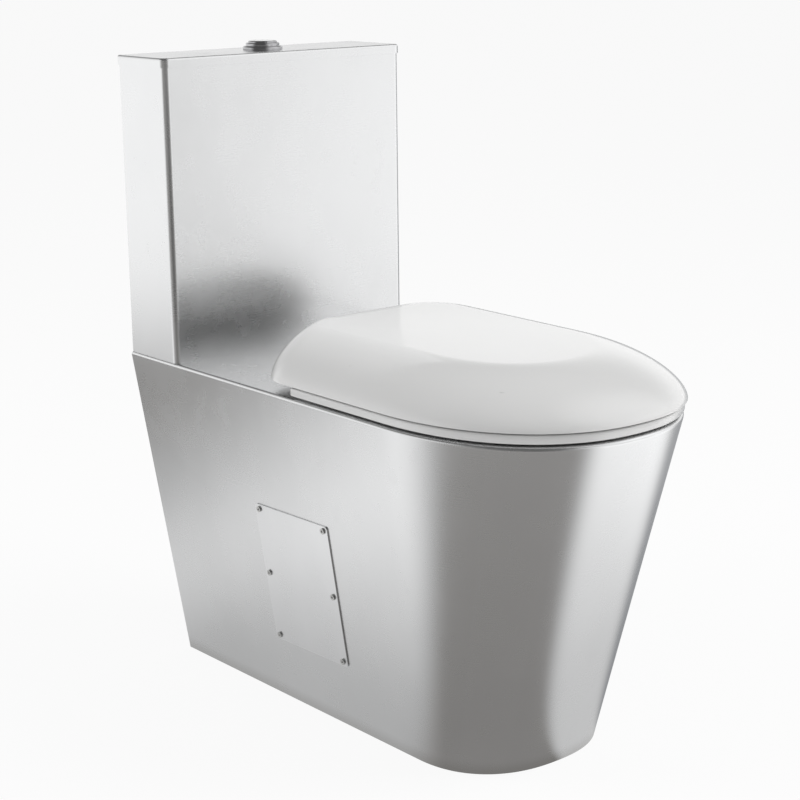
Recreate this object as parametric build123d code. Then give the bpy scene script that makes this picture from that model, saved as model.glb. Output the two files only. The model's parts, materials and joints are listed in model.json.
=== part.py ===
from build123d import *
import math
import os

# A close coupled stainless steel toilet in millimetres: X is the width, the wall side is +Y,
# the front is -Y, +Z is up and the floor is z = 0. Every dimension below is a real size.

# Overall sizes
pan_width = 375.0
projection = 740.0
rim_height = 425.0
cistern_top = 810.0
cistern_depth = 108.2
lid_overhang = 3.0
wall_y = (projection + lid_overhang) / 2

# Pan outline: distances are from the wall, powers are those of the rounded front
top_side_half = 183.8
top_side_end = 512.0
top_power = 2.24
base_back_half = 130.0
base_side_half = 123.2
base_back = 24.0
base_side_end = 501.0
base_tip = 617.0
base_power = 2.35
sheet = 1.5
deck_sheet = 2.0
deck_edge = 6.0
deck_bend = 4.0

# Bowl, flushing rim and trap
bowl_middle_y = -147.0
bowl_front_y = -323.0
bowl_back_y = 6.0
bowl_half = 122.0
bowl_shoulder = 16.0
mouth_power = 2.15
rim_channel_width = 24.0
rim_channel_depth = 38.0
throat_y = -95.0
throat_z = 160.0
trap_radius = 40.0
trap_bend = 60.0
trap_low_z = 58.0
trap_rise_y = 75.0
outlet_z = 185.0
outlet_radius = 51.0
outlet_length = 50.0
outlet_recess = 4.0

# Access panels on the leaning sides
panel_from_wall = 317.5
panel_z = 176.6
panel_width = 146.0
panel_height = 186.5
panel_tilt = 1.2
screw_pitch_across = 129.5
screw_pitch_up = 87.0

# Cistern
cistern_half = 187.0
cistern_corner = 8.0
cistern_back_corner = 3.0
cistern_turn_in = 10.0
cistern_floor_z = 447.0
cistern_back_gap = 1.8
cap_skirt = 12.0
cap_bend = 2.8
cap_gap = 0.3
cap_back_corner = 4.5
cap_hole = 21.0
valve_row = 55.0
inlet_x = -110.0
coupling_bolt_x = 75.0
bolt_radius = 4.0
wall_fixing_x = 110.0
wall_fixing_z = 760.0
wall_fixing_radius = 3.5

# Holes in the deck and in the cistern floor
deck_flush_hole = 31.0
deck_inlet_hole = 16.0
deck_bolt_hole = 4.5
deck_hinge_hole = 5.0
floor_flush_hole = 28.5
floor_inlet_hole = 12.0
floor_bolt_hole = 4.3

# Seat, lid and hinge
ring_bottom = 428.0
ring_top = 440.0
ring_corner = 4.0
ring_edge = 3.0
ring_inner_edge = 5.0
ring_end_y = wall_y - 349.0
tongue_end_y = wall_y - 323.0
tongue_half = 112.0
seat_hole_half = 106.0
seat_hole_front_y = -312.0
seat_hole_back_y = -52.0
lid_edge_z = 441.0
lid_rise = 54.4
lid_power = 1.57
lid_top_inset_rear_side = 88.0
lid_top_inset_side = 88.4
lid_top_inset_rear = 8.0
lid_top_inset_front = 111.0
lid_rear_y = wall_y - 264.0
lid_corner = 76.0
lid_wall = 4.0
lid_slot_half = 8.5
hinge_y = wall_y - 292.0
hinge_z = 460.0
lid_slot_top = hinge_z + 19.0
hinge_x = 77.5
pin_radius = 4.0
bush_radius = 6.0
knuckle_radius = 11.0
knuckle_flank = 10.9
seat_knuckle = (86.0, 104.0)
lid_knuckle = (51.0, 69.0)
running_gap = 0.05

# Buttons
button_bezel = 26.0
button_collar = 22.0
button_radius = 18.8
button_sleeve = 20.5
button_gap = 0.3
button_split_x = -6.0
rod_x = 15.5
rod_radius = 2.5

os.makedirs("parts", exist_ok=True)

valve_y = wall_y - valve_row
cistern_front = wall_y - cistern_depth
cistern_back = wall_y - cistern_back_gap
deck_under = rim_height - deck_sheet
cistern_floor_top = cistern_floor_z + sheet
outlet_start = wall_y - base_back - outlet_length - outlet_recess
from_low = (Align.CENTER, Align.CENTER, Align.MIN)


# Writes one piece, or several like pieces as a group, under its node's name
def save(shape, name):
    export_step(shape, f"parts/{name}.step")


def group(solids):
    return Compound(children=[solid for piece in solids for solid in piece.solids()])


# A box from its low corner to its high corner
def block(x0, x1, y0, y1, z0, z1):
    return Pos((x0 + x1) / 2, (y0 + y1) / 2, (z0 + z1) / 2) * Box(x1 - x0, y1 - y0, z1 - z0)


# Round bars that start at a point and run up, to the right or to the wall
def bar_up(x, y, z0, z1, radius):
    return Pos(x, y, z0) * Cylinder(radius, z1 - z0, align=from_low)


def bar_right(x0, x1, y, z, radius):
    return Pos(x0, y, z) * Rot(0, 90, 0) * Cylinder(radius, x1 - x0, align=from_low)


def bar_back(x, y0, y1, z, radius):
    return Pos(x, y0, z) * Rot(-90, 0, 0) * Cylinder(radius, y1 - y0, align=from_low)


def tube_up(x, y, z0, z1, outer, inner):
    return bar_up(x, y, z0, z1, outer) - bar_up(x, y, z0, z1, inner)


def hex_up(x, y, z0, z1, across_corners):
    return Pos(x, y, z0) * extrude(RegularPolygon(across_corners, 6), z1 - z0)


# The rounded front: a superellipse from the left side round the tip to the right side
def front_curve(half, side_y, tip_y, power, z, steps=12):
    points = []
    for step in range(steps + 1):
        turn = math.pi * step / steps
        across = math.copysign(abs(math.cos(turn)) ** (2 / power), math.cos(turn))
        along = math.sin(turn) ** (2 / power) if 0 < step < steps else 0.0
        points.append((-half * across, side_y - (side_y - tip_y) * along, z))
    return Spline(*points, tangents=[(0, -1, 0), (0, 1, 0)])


# A closed outline at one height: rounded front, straight sides and a square back
def pan_wire(back_half, side_half, back_y, side_y, tip_y, power, z):
    front = front_curve(side_half, side_y, tip_y, power, z)
    sides = [
        Line((side_half, side_y, z), (back_half, back_y, z)),
        Line((back_half, back_y, z), (-back_half, back_y, z)),
        Line((-back_half, back_y, z), (-side_half, side_y, z)),
    ]
    return Wire([front] + sides)


# The same with rounded back corners, for the seat and its lid
def seat_wire(back_half, side_half, back_y, side_y, tip_y, power, corner, z):
    front = front_curve(side_half, side_y, tip_y, power, z)
    inner = back_half - corner
    diagonal = corner * math.sqrt(0.5)
    low_y = back_y - corner
    edges = [
        front,
        Line((side_half, side_y, z), (back_half, low_y, z)),
        ThreePointArc(
            (back_half, low_y, z), (inner + diagonal, low_y + diagonal, z), (inner, back_y, z)
        ),
        Line((inner, back_y, z), (-inner, back_y, z)),
        ThreePointArc(
            (-inner, back_y, z), (-inner - diagonal, low_y + diagonal, z), (-back_half, low_y, z)
        ),
        Line((-back_half, low_y, z), (-side_half, side_y, z)),
    ]
    return Wire(edges)


# An egg shaped closed curve, the outline of the bowl's mouth and of the seat's hole
def egg_wire(half, front_y, back_y, middle_y, power, z, steps=20):
    points = []
    for step in range(steps):
        turn = 2 * math.pi * step / steps
        across = math.copysign(abs(math.cos(turn)) ** (2 / power), math.cos(turn))
        along = math.copysign(abs(math.sin(turn)) ** (2 / power), math.sin(turn))
        reach = back_y - middle_y if along > 0 else middle_y - front_y
        points.append((half * across, middle_y + reach * along, z))
    return Wire([Spline(*points, periodic=True)])


def egg_column(half, front_y, back_y, middle_y, power, z0, z1):
    face = Face(egg_wire(half, front_y, back_y, middle_y, power, z0))
    return extrude(face, z1 - z0, dir=(0, 0, 1))


# The mouth of the bowl grown sideways by a distance
def mouth_column(grow, z0, z1):
    return egg_column(
        bowl_half + grow, bowl_front_y - grow, bowl_back_y + grow, bowl_middle_y, mouth_power, z0, z1
    )


# Pan: the tapering envelope between the floor outline and the rim outline, drawn in by a skin
def pan_envelope(skin):
    base = pan_wire(
        base_back_half - skin,
        base_side_half - skin,
        wall_y - base_back - skin,
        wall_y - base_side_end,
        wall_y - base_tip + skin,
        base_power,
        0,
    )
    rim = pan_wire(
        pan_width / 2 - skin,
        top_side_half - skin,
        wall_y - skin,
        wall_y - top_side_end,
        wall_y - projection + skin,
        top_power,
        rim_height,
    )
    return Solid.make_loft([base, rim], ruled=True)


def slab(z0, z1):
    reach = projection
    return block(-reach, reach, -reach, reach, z0, z1)


# The side of the pan as a plane: its middle is where the access panel is, its x runs to the wall
def side_plane():
    along = panel_from_wall
    top_half = pan_width / 2 + (top_side_half - pan_width / 2) * along / top_side_end
    base_half = base_back_half + (base_side_half - base_back_half) * (along - base_back) / (
        base_side_end - base_back
    )
    half = base_half + (top_half - base_half) * panel_z / rim_height
    up = Vector(-(top_half - base_half), 0, rim_height).normalized()
    taper = (pan_width / 2 - top_side_half) / top_side_end * panel_z / rim_height + (
        (base_back_half - base_side_half) / (base_side_end - base_back)
    ) * (1 - panel_z / rim_height)
    to_wall = Vector(-taper, 1, 0).normalized()
    outward = up.cross(to_wall).normalized()
    along_panel = to_wall.rotate(Axis((0, 0, 0), outward), panel_tilt)
    return Plane(origin=(-half, wall_y - along, panel_z), x_dir=along_panel, z_dir=outward)


panel_plane = side_plane()
screw_places = [
    (across * screw_pitch_across / 2, up * screw_pitch_up)
    for across in (-1, 1)
    for up in (-1, 0, 1)
]


# A flat piece on the side plane, between two distances from its surface
def on_side(width, height, low, high, corner=0.0):
    outline = RectangleRounded(width, height, corner) if corner else Rectangle(width, height)
    return panel_plane.offset(low) * extrude(outline, high - low)


def on_side_bars(radius, low, high):
    plane = panel_plane.offset(low)
    return [plane * Pos(x, y, 0) * Cylinder(radius, high - low, align=from_low) for x, y in screw_places]


def both_sides(piece):
    return [piece, piece.mirror(Plane.YZ)]


# A thin plate laps over a window in the skin, and its screws go into a frame behind the window
panel_plate = 1.5
panel_stand_off = 0.2
panel_lap = 4.0
frame_lap = 8.0
frame_opening = (110.0, 150.0)
frame_plate = 2.5
frame_start = -sheet - 0.4
screw_radius = 2.0
screw_clear = 2.3
screw_head_radius = 3.8
screw_head = 1.8
screw_socket_radius = 1.3
panel_corner = 4.0
frame_opening_corner = 6.0


back_opening_margin = 26.0
back_opening_low = 12.0
back_opening_high = 396.0
window_corner = 3.0


def make_pan_shell():
    seam_z = rim_height - deck_edge
    shell = (pan_envelope(0) - pan_envelope(sheet)) & slab(0, seam_z)
    low_z, high_z = back_opening_low, back_opening_high
    spread = (pan_width / 2 - base_back_half) / rim_height
    low_half = base_back_half + spread * low_z - back_opening_margin
    high_half = base_back_half + spread * high_z - back_opening_margin
    opening = Polyline(
        (-low_half, low_z), (low_half, low_z), (high_half, high_z), (-high_half, high_z), close=True
    )
    shell -= Plane.XZ.offset(-wall_y - 5) * extrude(make_face(opening), base_back + 21)
    window_width = panel_width - 2 * panel_lap
    window_height = panel_height - 2 * panel_lap
    window = on_side(window_width, window_height, -12, 8, window_corner)
    for piece in both_sides(window):
        shell -= piece
    return shell


def make_pan_deck():
    edge = pan_envelope(0) & slab(rim_height - deck_edge, rim_height + 1)
    rim_edges = edge.edges().filter_by_position(Axis.Z, rim_height - 0.01, rim_height + 0.01)
    top = fillet(rim_edges, deck_bend)
    hollow = pan_envelope(deck_sheet) & slab(0, deck_under)
    deck = top - hollow
    deck -= mouth_column(0, deck_under - 5, rim_height + 5)
    holes = [
        (0, valve_y, deck_flush_hole),
        (inlet_x, valve_y, deck_inlet_hole),
        (-coupling_bolt_x, valve_y, deck_bolt_hole),
        (coupling_bolt_x, valve_y, deck_bolt_hole),
        (-hinge_x, hinge_y, deck_hinge_hole),
        (hinge_x, hinge_y, deck_hinge_hole),
    ]
    for x, y, radius in holes:
        deck -= bar_up(x, y, deck_under - 5, rim_height + 5, radius)
    return deck


# A box channel under the deck, open at its top, that carries the flush water round the mouth.
# The water comes in through a gap at the back and leaves by jets in the channel's floor.
jet_count = 20
jet_radius = 2.5
jet_inset = 9.0
water_gap_half = 30.0


def make_flushing_rim():
    low = deck_under - rim_channel_depth
    channel = mouth_column(rim_channel_width, low, deck_under) - mouth_column(0, low, deck_under)
    trough = mouth_column(rim_channel_width - sheet, low + sheet, deck_under) - mouth_column(
        sheet, low + sheet, deck_under
    )
    rim = channel - trough
    gap_y0 = bowl_back_y + rim_channel_width / 2
    gap_y1 = bowl_back_y + rim_channel_width + bowl_shoulder
    rim -= block(-water_gap_half, water_gap_half, gap_y0, gap_y1, low + 6, deck_under)
    for step in range(jet_count):
        turn = 2 * math.pi * (step + 0.5) / jet_count
        reach = bowl_back_y - bowl_middle_y if math.sin(turn) > 0 else bowl_middle_y - bowl_front_y
        x = (bowl_half + jet_inset) * math.cos(turn)
        y = bowl_middle_y + (reach + jet_inset) * math.sin(turn)
        rim -= bar_up(x, y, low - 1, low + 3, jet_radius)
    return rim


# The bowl narrows from the rim channel to the round throat of the trap. Each row gives a height,
# the half width, the front, the back and the middle of the egg there, and its power.
def make_bowl():
    top_z = deck_under - rim_channel_depth
    grow = bowl_shoulder
    front, back = bowl_front_y - grow, bowl_back_y + grow
    rows = [
        (top_z, bowl_half + grow, front, back, bowl_middle_y, mouth_power),
        (345.0, 133.0, -331.0, 10.0, -147.0, 2.15),
        (295.0, 117.0, -304.0, -9.0, -142.0, 2.1),
        (240.0, 88.0, -254.0, -29.0, -131.0, 2.05),
        (195.0, 57.0, -178.0, -46.0, -109.0, 2.0),
        (throat_z, trap_radius, throat_y - trap_radius, throat_y + trap_radius, throat_y, 2.0),
    ]

    def cone(skin):
        wires = [
            egg_wire(half - skin, front + skin, back - skin, middle, power, z)
            for z, half, front, back, middle, power in rows
        ]
        return Solid.make_loft(wires)

    return cone(0) - cone(sheet)


# The trap is a tube that dips under the bowl, rises and runs to the wall
def make_trap():
    path = FilletPolyline(
        (0, throat_y, throat_z),
        (0, throat_y, trap_low_z),
        (0, trap_rise_y, trap_low_z),
        (0, trap_rise_y, outlet_z),
        (0, outlet_start, outlet_z),
        radius=trap_bend,
    )
    start = Plane(origin=(0, throat_y, throat_z), z_dir=(0, 0, -1))
    ring = start * (Circle(trap_radius) - Circle(trap_radius - sheet))
    return sweep(ring, path)


def make_outlet_spigot():
    start = outlet_start
    tube = bar_back(0, start, start + outlet_length, outlet_z, outlet_radius)
    tube -= bar_back(0, start + sheet, start + outlet_length, outlet_z, outlet_radius - sheet)
    return tube - bar_back(0, start - 1, start + 3, outlet_z, trap_radius - sheet)


# A flat horseshoe inside the foot of the pan, with the four floor fixing holes. It stops short
# of the wall, so that a water pipe can come up through the floor behind it.
floor_hole_x = 103.0
floor_hole_back = 130.0
floor_hole_front = 335.0
floor_hole_radius = 4.5
flange_width = 34.0
flange_plate = 3.0
flange_stop = 85.0


def make_base_flange():
    skin = sheet + 0.3
    ring = (pan_envelope(skin) & slab(0, flange_plate)) - pan_envelope(skin + flange_width)
    ring -= block(-base_back_half, base_back_half, wall_y - flange_stop, wall_y, -1, flange_plate + 1)
    for x in (-floor_hole_x, floor_hole_x):
        for distance in (floor_hole_back, floor_hole_front):
            ring -= bar_up(x, wall_y - distance, -1, flange_plate + 1, floor_hole_radius)
    return ring


# The flush water runs from the cistern outlet to the rim in this channel under the deck
duct_half = 40.0
duct_depth = 46.0
duct_behind_valve = 45.0


def make_flush_duct():
    front = bowl_back_y + rim_channel_width + 0.4
    back = valve_y + duct_behind_valve
    low = deck_under - duct_depth
    duct = block(-duct_half, duct_half, front, back, low, deck_under)
    inner = duct_half - sheet
    duct -= block(-inner, inner, front - 1, back - sheet, low + sheet, deck_under + 1)
    return duct


def make_panel_parts():
    low = panel_stand_off
    plate = on_side(panel_width, panel_height, low, low + panel_plate, panel_corner)
    frame_low = frame_start - frame_plate
    frame_width = panel_width + 2 * frame_lap
    frame_height = panel_height + 2 * frame_lap
    frame = on_side(frame_width, frame_height, frame_low, frame_start, frame_lap)
    frame -= on_side(*frame_opening, frame_low - 5, frame_start + 5, frame_opening_corner)
    for bar in on_side_bars(screw_clear, -10, 10):
        plate -= bar
    for bar in on_side_bars(screw_radius + 0.02, -10, 0):
        frame -= bar
    head_low = low + panel_plate
    shanks = on_side_bars(screw_radius, frame_low - 2, head_low)
    heads = on_side_bars(screw_head_radius, head_low, head_low + screw_head)
    sockets = on_side_bars(screw_socket_radius, head_low + 0.7, head_low + screw_head + 1)
    screws = [shank + head - socket for shank, head, socket in zip(shanks, heads, sockets)]
    return plate, frame, screws


# Cistern: an upright box with a turned-in top edge and a floor raised above the deck
def rounded_box(half, front, back, front_corner, back_corner, z0, z1):
    box = block(-half, half, front, back, z0, z1)
    upright = box.edges().filter_by(Axis.Z)
    box = fillet([edge for edge in upright if edge.center().Y < 0.5 * (front + back)], front_corner)
    upright = [
        edge
        for edge in box.edges().filter_by(Axis.Z)
        if edge.center().Y > back - 0.1 and abs(edge.center().X) > half - 0.1
    ]
    return fillet(upright, back_corner)


body_top = cistern_top - sheet


def make_cistern_body():
    outer = rounded_box(
        cistern_half,
        cistern_front,
        cistern_back,
        cistern_corner,
        cistern_back_corner,
        rim_height,
        body_top,
    )

    def inside(skin, z0, z1):
        return rounded_box(
            cistern_half - skin,
            cistern_front + skin,
            cistern_back - skin,
            max(cistern_corner - skin, 1.0),
            max(cistern_back_corner - skin, 1.0),
            z0,
            z1,
        )

    body = outer - inside(sheet, cistern_floor_top, body_top - sheet)
    body -= inside(sheet, rim_height - 1, cistern_floor_z)
    body -= inside(cistern_turn_in, body_top - 5, body_top + 5)
    holes = [
        (0, floor_flush_hole),
        (inlet_x, floor_inlet_hole),
        (-coupling_bolt_x, floor_bolt_hole),
        (coupling_bolt_x, floor_bolt_hole),
    ]
    for x, radius in holes:
        body -= bar_up(x, valve_y, cistern_floor_z - 2, cistern_floor_top + 2, radius)
    for x in (-wall_fixing_x, wall_fixing_x):
        body -= bar_back(x, cistern_back - 5, cistern_back + 5, wall_fixing_z, wall_fixing_radius)
    return body


def make_cistern_lid():
    grow = cap_gap + sheet
    front = cistern_front - grow
    skirt_low = cistern_top - cap_skirt
    cap = rounded_box(
        cistern_half + grow,
        front,
        wall_y,
        cistern_corner + grow,
        cap_back_corner,
        skirt_low,
        cistern_top,
    )
    rim = cap.edges().filter_by_position(Axis.Z, cistern_top - 0.01, cistern_top + 0.01)
    cap = fillet(rim, cap_bend)
    cap -= rounded_box(
        cistern_half + cap_gap,
        front + sheet,
        wall_y - sheet,
        cistern_corner + cap_gap,
        cistern_back_corner + cap_gap,
        skirt_low - 1,
        body_top,
    )
    return cap - bar_up(0, valve_y, body_top - 1, cistern_top + 1, cap_hole)


# A nut with two upright wings beside its hub
wing_offset = 11.0
wing_half = 5.0
wing_half_thick = 1.5
nut_wall = 3.5
thread_gap = 0.02


def wing_nut(x, y, z0, z1, radius):
    hub = tube_up(x, y, z0, z1, radius + nut_wall, radius + thread_gap)
    for side in (-1, 1):
        x0 = x + side * wing_offset - wing_half
        y0, y1 = y - wing_half_thick, y + wing_half_thick
        wing = block(x0, x0 + 2 * wing_half, y0, y1, z0 - 4, z1 - 2)
        hub += wing - bar_up(x, y, z0 - 5, z1 + 1, radius + 2)
    return hub


# Cistern to pan: slotted bolts with rubber washers inside, plates and wing nuts under the deck
rubber_washer = 2.0
washer_plate = 1.5
bolt_head_radius = 8.0
bolt_head = 5.0
coupling_nut_low = deck_under - 9.5
coupling_bolt_low = coupling_nut_low - 18.0


def make_coupling():
    bolts, washers, plates, nuts = [], [], [], []
    y = valve_y
    head_z = cistern_floor_top + rubber_washer
    head_top = head_z + bolt_head
    plate_low = deck_under - washer_plate
    for x in (-coupling_bolt_x, coupling_bolt_x):
        bolt = bar_up(x, y, coupling_bolt_low, head_z, bolt_radius)
        bolt += bar_up(x, y, head_z, head_top, bolt_head_radius)
        bolts.append(bolt - block(x - 8, x + 8, y - 0.9, y + 0.9, head_top - 1.8, head_top + 1))
        washers.append(tube_up(x, y, cistern_floor_top, head_z, 12.0, bolt_radius + 0.2))
        plates.append(tube_up(x, y, plate_low, deck_under, 11.0, bolt_radius + 0.3))
        nuts.append(wing_nut(x, y, coupling_nut_low, plate_low, bolt_radius))
    return bolts, washers, plates, nuts


# Flush valve, in the middle of the cistern under the buttons
valve_spigot = 28.0
valve_bore = 25.0
valve_flange = 36.0
valve_flange_plate = 3.5
valve_seat = 30.0
valve_nut_height = 9.0
tower_radius = 34.5
tower_wall = 3.0
tower_port_half = 11.0
core_tube = 10.0
core_tube_bore = 8.5
core_disc = 29.0
core_top_z = 700.0
seal_plate = 2.0
valve_flange_z = cistern_floor_top + rubber_washer
valve_seat_z = valve_flange_z + 9.5
tower_low_z = valve_flange_z + valve_flange_plate
tower_top_z = 644.0


def make_flush_valve():
    x, y = 0, valve_y
    nut_low = cistern_floor_z - valve_nut_height
    base = bar_up(x, y, deck_under - 17, tower_low_z, valve_spigot)
    base += bar_up(x, y, valve_flange_z, tower_low_z, valve_flange)
    base += bar_up(x, y, valve_flange_z, valve_seat_z, valve_seat)
    base -= bar_up(x, y, deck_under - 20, valve_seat_z + 1, valve_bore)
    washer = tube_up(x, y, cistern_floor_top, valve_flange_z, valve_flange, valve_spigot + 0.3)
    backnut = hex_up(x, y, nut_low, cistern_floor_z, 42.0)
    backnut -= bar_up(x, y, nut_low - 1, cistern_floor_z + 1, valve_spigot + 0.05)
    gasket = tube_up(x, y, rim_height, nut_low, 46.0, valve_spigot + 1.5)
    tower = tube_up(x, y, tower_low_z, tower_top_z, tower_radius, tower_radius - tower_wall)
    tower += bar_up(x, y, tower_top_z - 4, tower_top_z, tower_radius)
    across, along = tower_port_half, 40
    for half_x, half_y in ((across, along), (along, across)):
        port_low = tower_low_z + 8
        tower -= block(x - half_x, x + half_x, y - half_y, y + half_y, port_low, port_low + 36)
    tower -= bar_up(x, y, tower_top_z - 10, tower_top_z + 5, core_tube + 0.5)
    for side in (-1, 1):
        tower -= bar_up(x + side * rod_x, y, tower_top_z - 10, tower_top_z + 5, rod_radius + 0.7)
    core_low = valve_seat_z + seal_plate
    core = bar_up(x, y, core_low, core_low + 3, core_disc)
    core += bar_up(x, y, core_low, core_low + 18, 14.0)
    core += bar_up(x, y, core_low, core_top_z, core_tube)
    core -= bar_up(x, y, core_low - 1, core_top_z + 1, core_tube_bore)
    seal = tube_up(x, y, valve_seat_z, core_low, core_disc, core_tube_bore + 0.5)
    return base, washer, backnut, gasket, tower, core, seal


# Inlet valve: a shank through the cistern floor with a half inch tail under the deck, and a
# float on a lever at its head
tail_radius = 10.48
tail_low_z = 384.0
tail_length = 30.0
shank_radius = 11.5
inlet_flange = 17.0
riser_radius = 9.0
water_bore = 6.0
inlet_nut_height = 8.0
inlet_head = 15.0
inlet_head_low = 690.0
inlet_head_top = 716.0
inlet_cap_height = 10.0
float_pin_radius = 1.5
float_pin_x = inlet_x - 20.0
float_pin_z = 706.0
float_x = float_pin_x - 22.0
float_radius = 18.5
float_wall = 2.0
float_low = 652.0
float_crown = 6.0


def make_inlet_valve():
    x, y = inlet_x, valve_y
    flange = cistern_floor_top + rubber_washer
    nut_low = cistern_floor_z - inlet_nut_height
    body = bar_up(x, y, tail_low_z, tail_low_z + tail_length, tail_radius)
    body += bar_up(x, y, tail_low_z + tail_length, flange, shank_radius)
    body += bar_up(x, y, flange, flange + 3.5, inlet_flange)
    body += bar_up(x, y, flange, inlet_head_low, riser_radius)
    body -= bar_up(x, y, tail_low_z - 1, inlet_head_low - 20, water_bore)
    body -= bar_back(x, y, y + 20, cistern_floor_top + 31.5, 4.0)
    washer = tube_up(x, y, cistern_floor_top, flange, inlet_flange, shank_radius + 0.4)
    backnut = hex_up(x, y, nut_low, cistern_floor_z, 16.5)
    backnut -= bar_up(x, y, nut_low - 1, cistern_floor_z + 1, shank_radius + thread_gap)
    head = bar_up(x, y, inlet_head_low, inlet_head_top, inlet_head)
    for side in (-1, 1):
        ear_y = y + side * 6
        ear_z0, ear_z1 = float_pin_z - 6, float_pin_z + 6
        head += block(float_pin_x - 5, x - 8, ear_y - 2, ear_y + 2, ear_z0, ear_z1)
    head -= bar_back(float_pin_x, y - 12, y + 12, float_pin_z, float_pin_radius)
    cap = bar_up(x, y, inlet_head_top, inlet_head_top + inlet_cap_height, inlet_head + 1)
    cap = fillet(cap.edges().sort_by(Axis.Z)[-1], 2.0)
    pin = bar_back(float_pin_x, y - 9.5, y + 9.5, float_pin_z, float_pin_radius)
    arm = block(float_pin_x - 30, float_pin_x + 3.5, y - 3, y + 3, float_pin_z - 3, float_pin_z + 3)
    arm -= bar_back(float_pin_x, y - 12, y + 12, float_pin_z, float_pin_radius + running_gap)
    arm += bar_up(float_x, y, inlet_head_low, float_pin_z - 2, 3.0)
    cup = bar_up(float_x, y, float_low, inlet_head_low, float_radius)
    cup = fillet(cup.edges().filter_by(GeomType.CIRCLE).group_by(Axis.Z)[-1], 3.0)
    hollow = float_radius - float_wall
    cup -= bar_up(float_x, y, float_low - 2, inlet_head_low - float_crown, hollow)
    return body, washer, backnut, head, cap, pin, arm, cup


# Dual flush button: a bezel in the lid, a nut under it and two sprung segments with rods
shelf_z = 788.0
shelf_plate = 2.0
bezel_height = 5.0
bezel_bend = 2.5
collar_height = 9.0
collar_bend = 1.5
disc_low = cistern_top - 3.0
disc_top = cistern_top + 11.5
disc_bend = 1.6
spring_radius = 3.3


def make_buttons():
    x, y = 0, valve_y
    bezel = bar_up(x, y, cistern_top, cistern_top + bezel_height, button_bezel)
    bezel = fillet(bezel.edges().group_by(Axis.Z)[-1], bezel_bend)
    collar_top = cistern_top + collar_height
    collar = bar_up(x, y, cistern_top + bezel_height - 1, collar_top, button_collar)
    collar = fillet(collar.edges().group_by(Axis.Z)[-1], collar_bend)
    sleeve = bar_up(x, y, shelf_z - shelf_plate, cistern_top + 1, button_sleeve)
    housing = bezel + collar + sleeve
    housing -= bar_up(x, y, shelf_z, collar_top + 1, button_radius + button_gap)
    for side in (-1, 1):
        housing -= bar_up(x + side * rod_x, y, shelf_z - 5, shelf_z + 2, rod_radius + 0.4)
    nut = hex_up(x, y, body_top - 7, body_top, 29.0)
    nut -= bar_up(x, y, body_top - 9, body_top + 2, button_sleeve + 0.05)
    disc = bar_up(x, y, disc_low, disc_top, button_radius)
    disc = fillet(disc.edges().group_by(Axis.Z)[-1], disc_bend)
    y0, y1, z0, z1 = y - 30, y + 30, disc_low - 7, disc_top + 8
    full = disc - block(-30, button_split_x + button_gap, y0, y1, z0, z1)
    half = disc - block(button_split_x - button_gap, 30, y0, y1, z0, z1)
    rods, springs = [], []
    for side in (1, -1):
        rod_end = tower_top_z - 8
        rods.append(bar_up(side * rod_x, y, rod_end, disc_low, rod_radius))
        springs.append(tube_up(side * rod_x, y, shelf_z, disc_low, spring_radius, rod_radius + 0.25))
    return housing, nut, full, half, rods, springs


# Seat ring: a flat ring with a tongue at the back and two arms up to the hinge
def pan_half_at(y):
    return pan_width / 2 + (top_side_half - pan_width / 2) * (wall_y - y) / top_side_end


def hinge_arm(x0, x1, outline):
    face = make_face(Polyline(*outline, close=True))
    arm = Plane(origin=(x0, 0, 0), x_dir=(0, 1, 0), z_dir=(1, 0, 0)) * extrude(face, x1 - x0)
    return arm + bar_right(x0, x1, hinge_y, hinge_z, knuckle_radius)


# Takes the bores for the bushes out of both arms of a pair
def bore_knuckles(shape, knuckle):
    middle = (knuckle[0] + knuckle[1]) / 2
    for side in (-1, 1):
        x = side * middle
        shape -= bar_right(x - 15, x + 15, hinge_y, hinge_z, bush_radius)
    return shape


def mirrored(piece):
    return piece.mirror(Plane.YZ)


def make_seat_ring():
    wire = seat_wire(
        pan_half_at(ring_end_y),
        top_side_half,
        ring_end_y,
        wall_y - top_side_end,
        wall_y - projection,
        top_power,
        ring_corner,
        ring_bottom,
    )
    height = ring_top - ring_bottom
    ring = extrude(Face(wire), height, dir=(0, 0, 1))
    ring = fillet(ring.edges().group_by(Axis.Z)[0], ring_edge)
    ring = fillet(ring.edges().group_by(Axis.Z)[-1], ring_edge)
    ring -= egg_column(
        seat_hole_half,
        seat_hole_front_y,
        seat_hole_back_y,
        bowl_middle_y,
        mouth_power,
        ring_bottom - 5,
        ring_top + 5,
    )
    inner = [
        edge
        for edge in ring.edges().filter_by_position(Axis.Z, ring_top - 0.01, ring_top + 0.01)
        if edge.bounding_box().max.Y < seat_hole_back_y + 3
        and edge.bounding_box().min.Y > seat_hole_front_y - 3
    ]
    ring = fillet(inner, ring_inner_edge)
    ring += block(-tongue_half, tongue_half, ring_end_y - 10, tongue_end_y, ring_bottom, ring_top)
    x0, x1 = seat_knuckle
    outline = [
        (tongue_end_y - 16, ring_top - 4),
        (tongue_end_y, ring_top - 4),
        (tongue_end_y + 7, hinge_z - 9),
        (hinge_y, hinge_z - knuckle_flank),
        (hinge_y, hinge_z + knuckle_flank),
        (hinge_y - 14, hinge_z + 9),
        (tongue_end_y - 8, hinge_z - 4),
    ]
    arm = hinge_arm(x0, x1, outline)
    return bore_knuckles(ring + arm + mirrored(arm), seat_knuckle)


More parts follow.
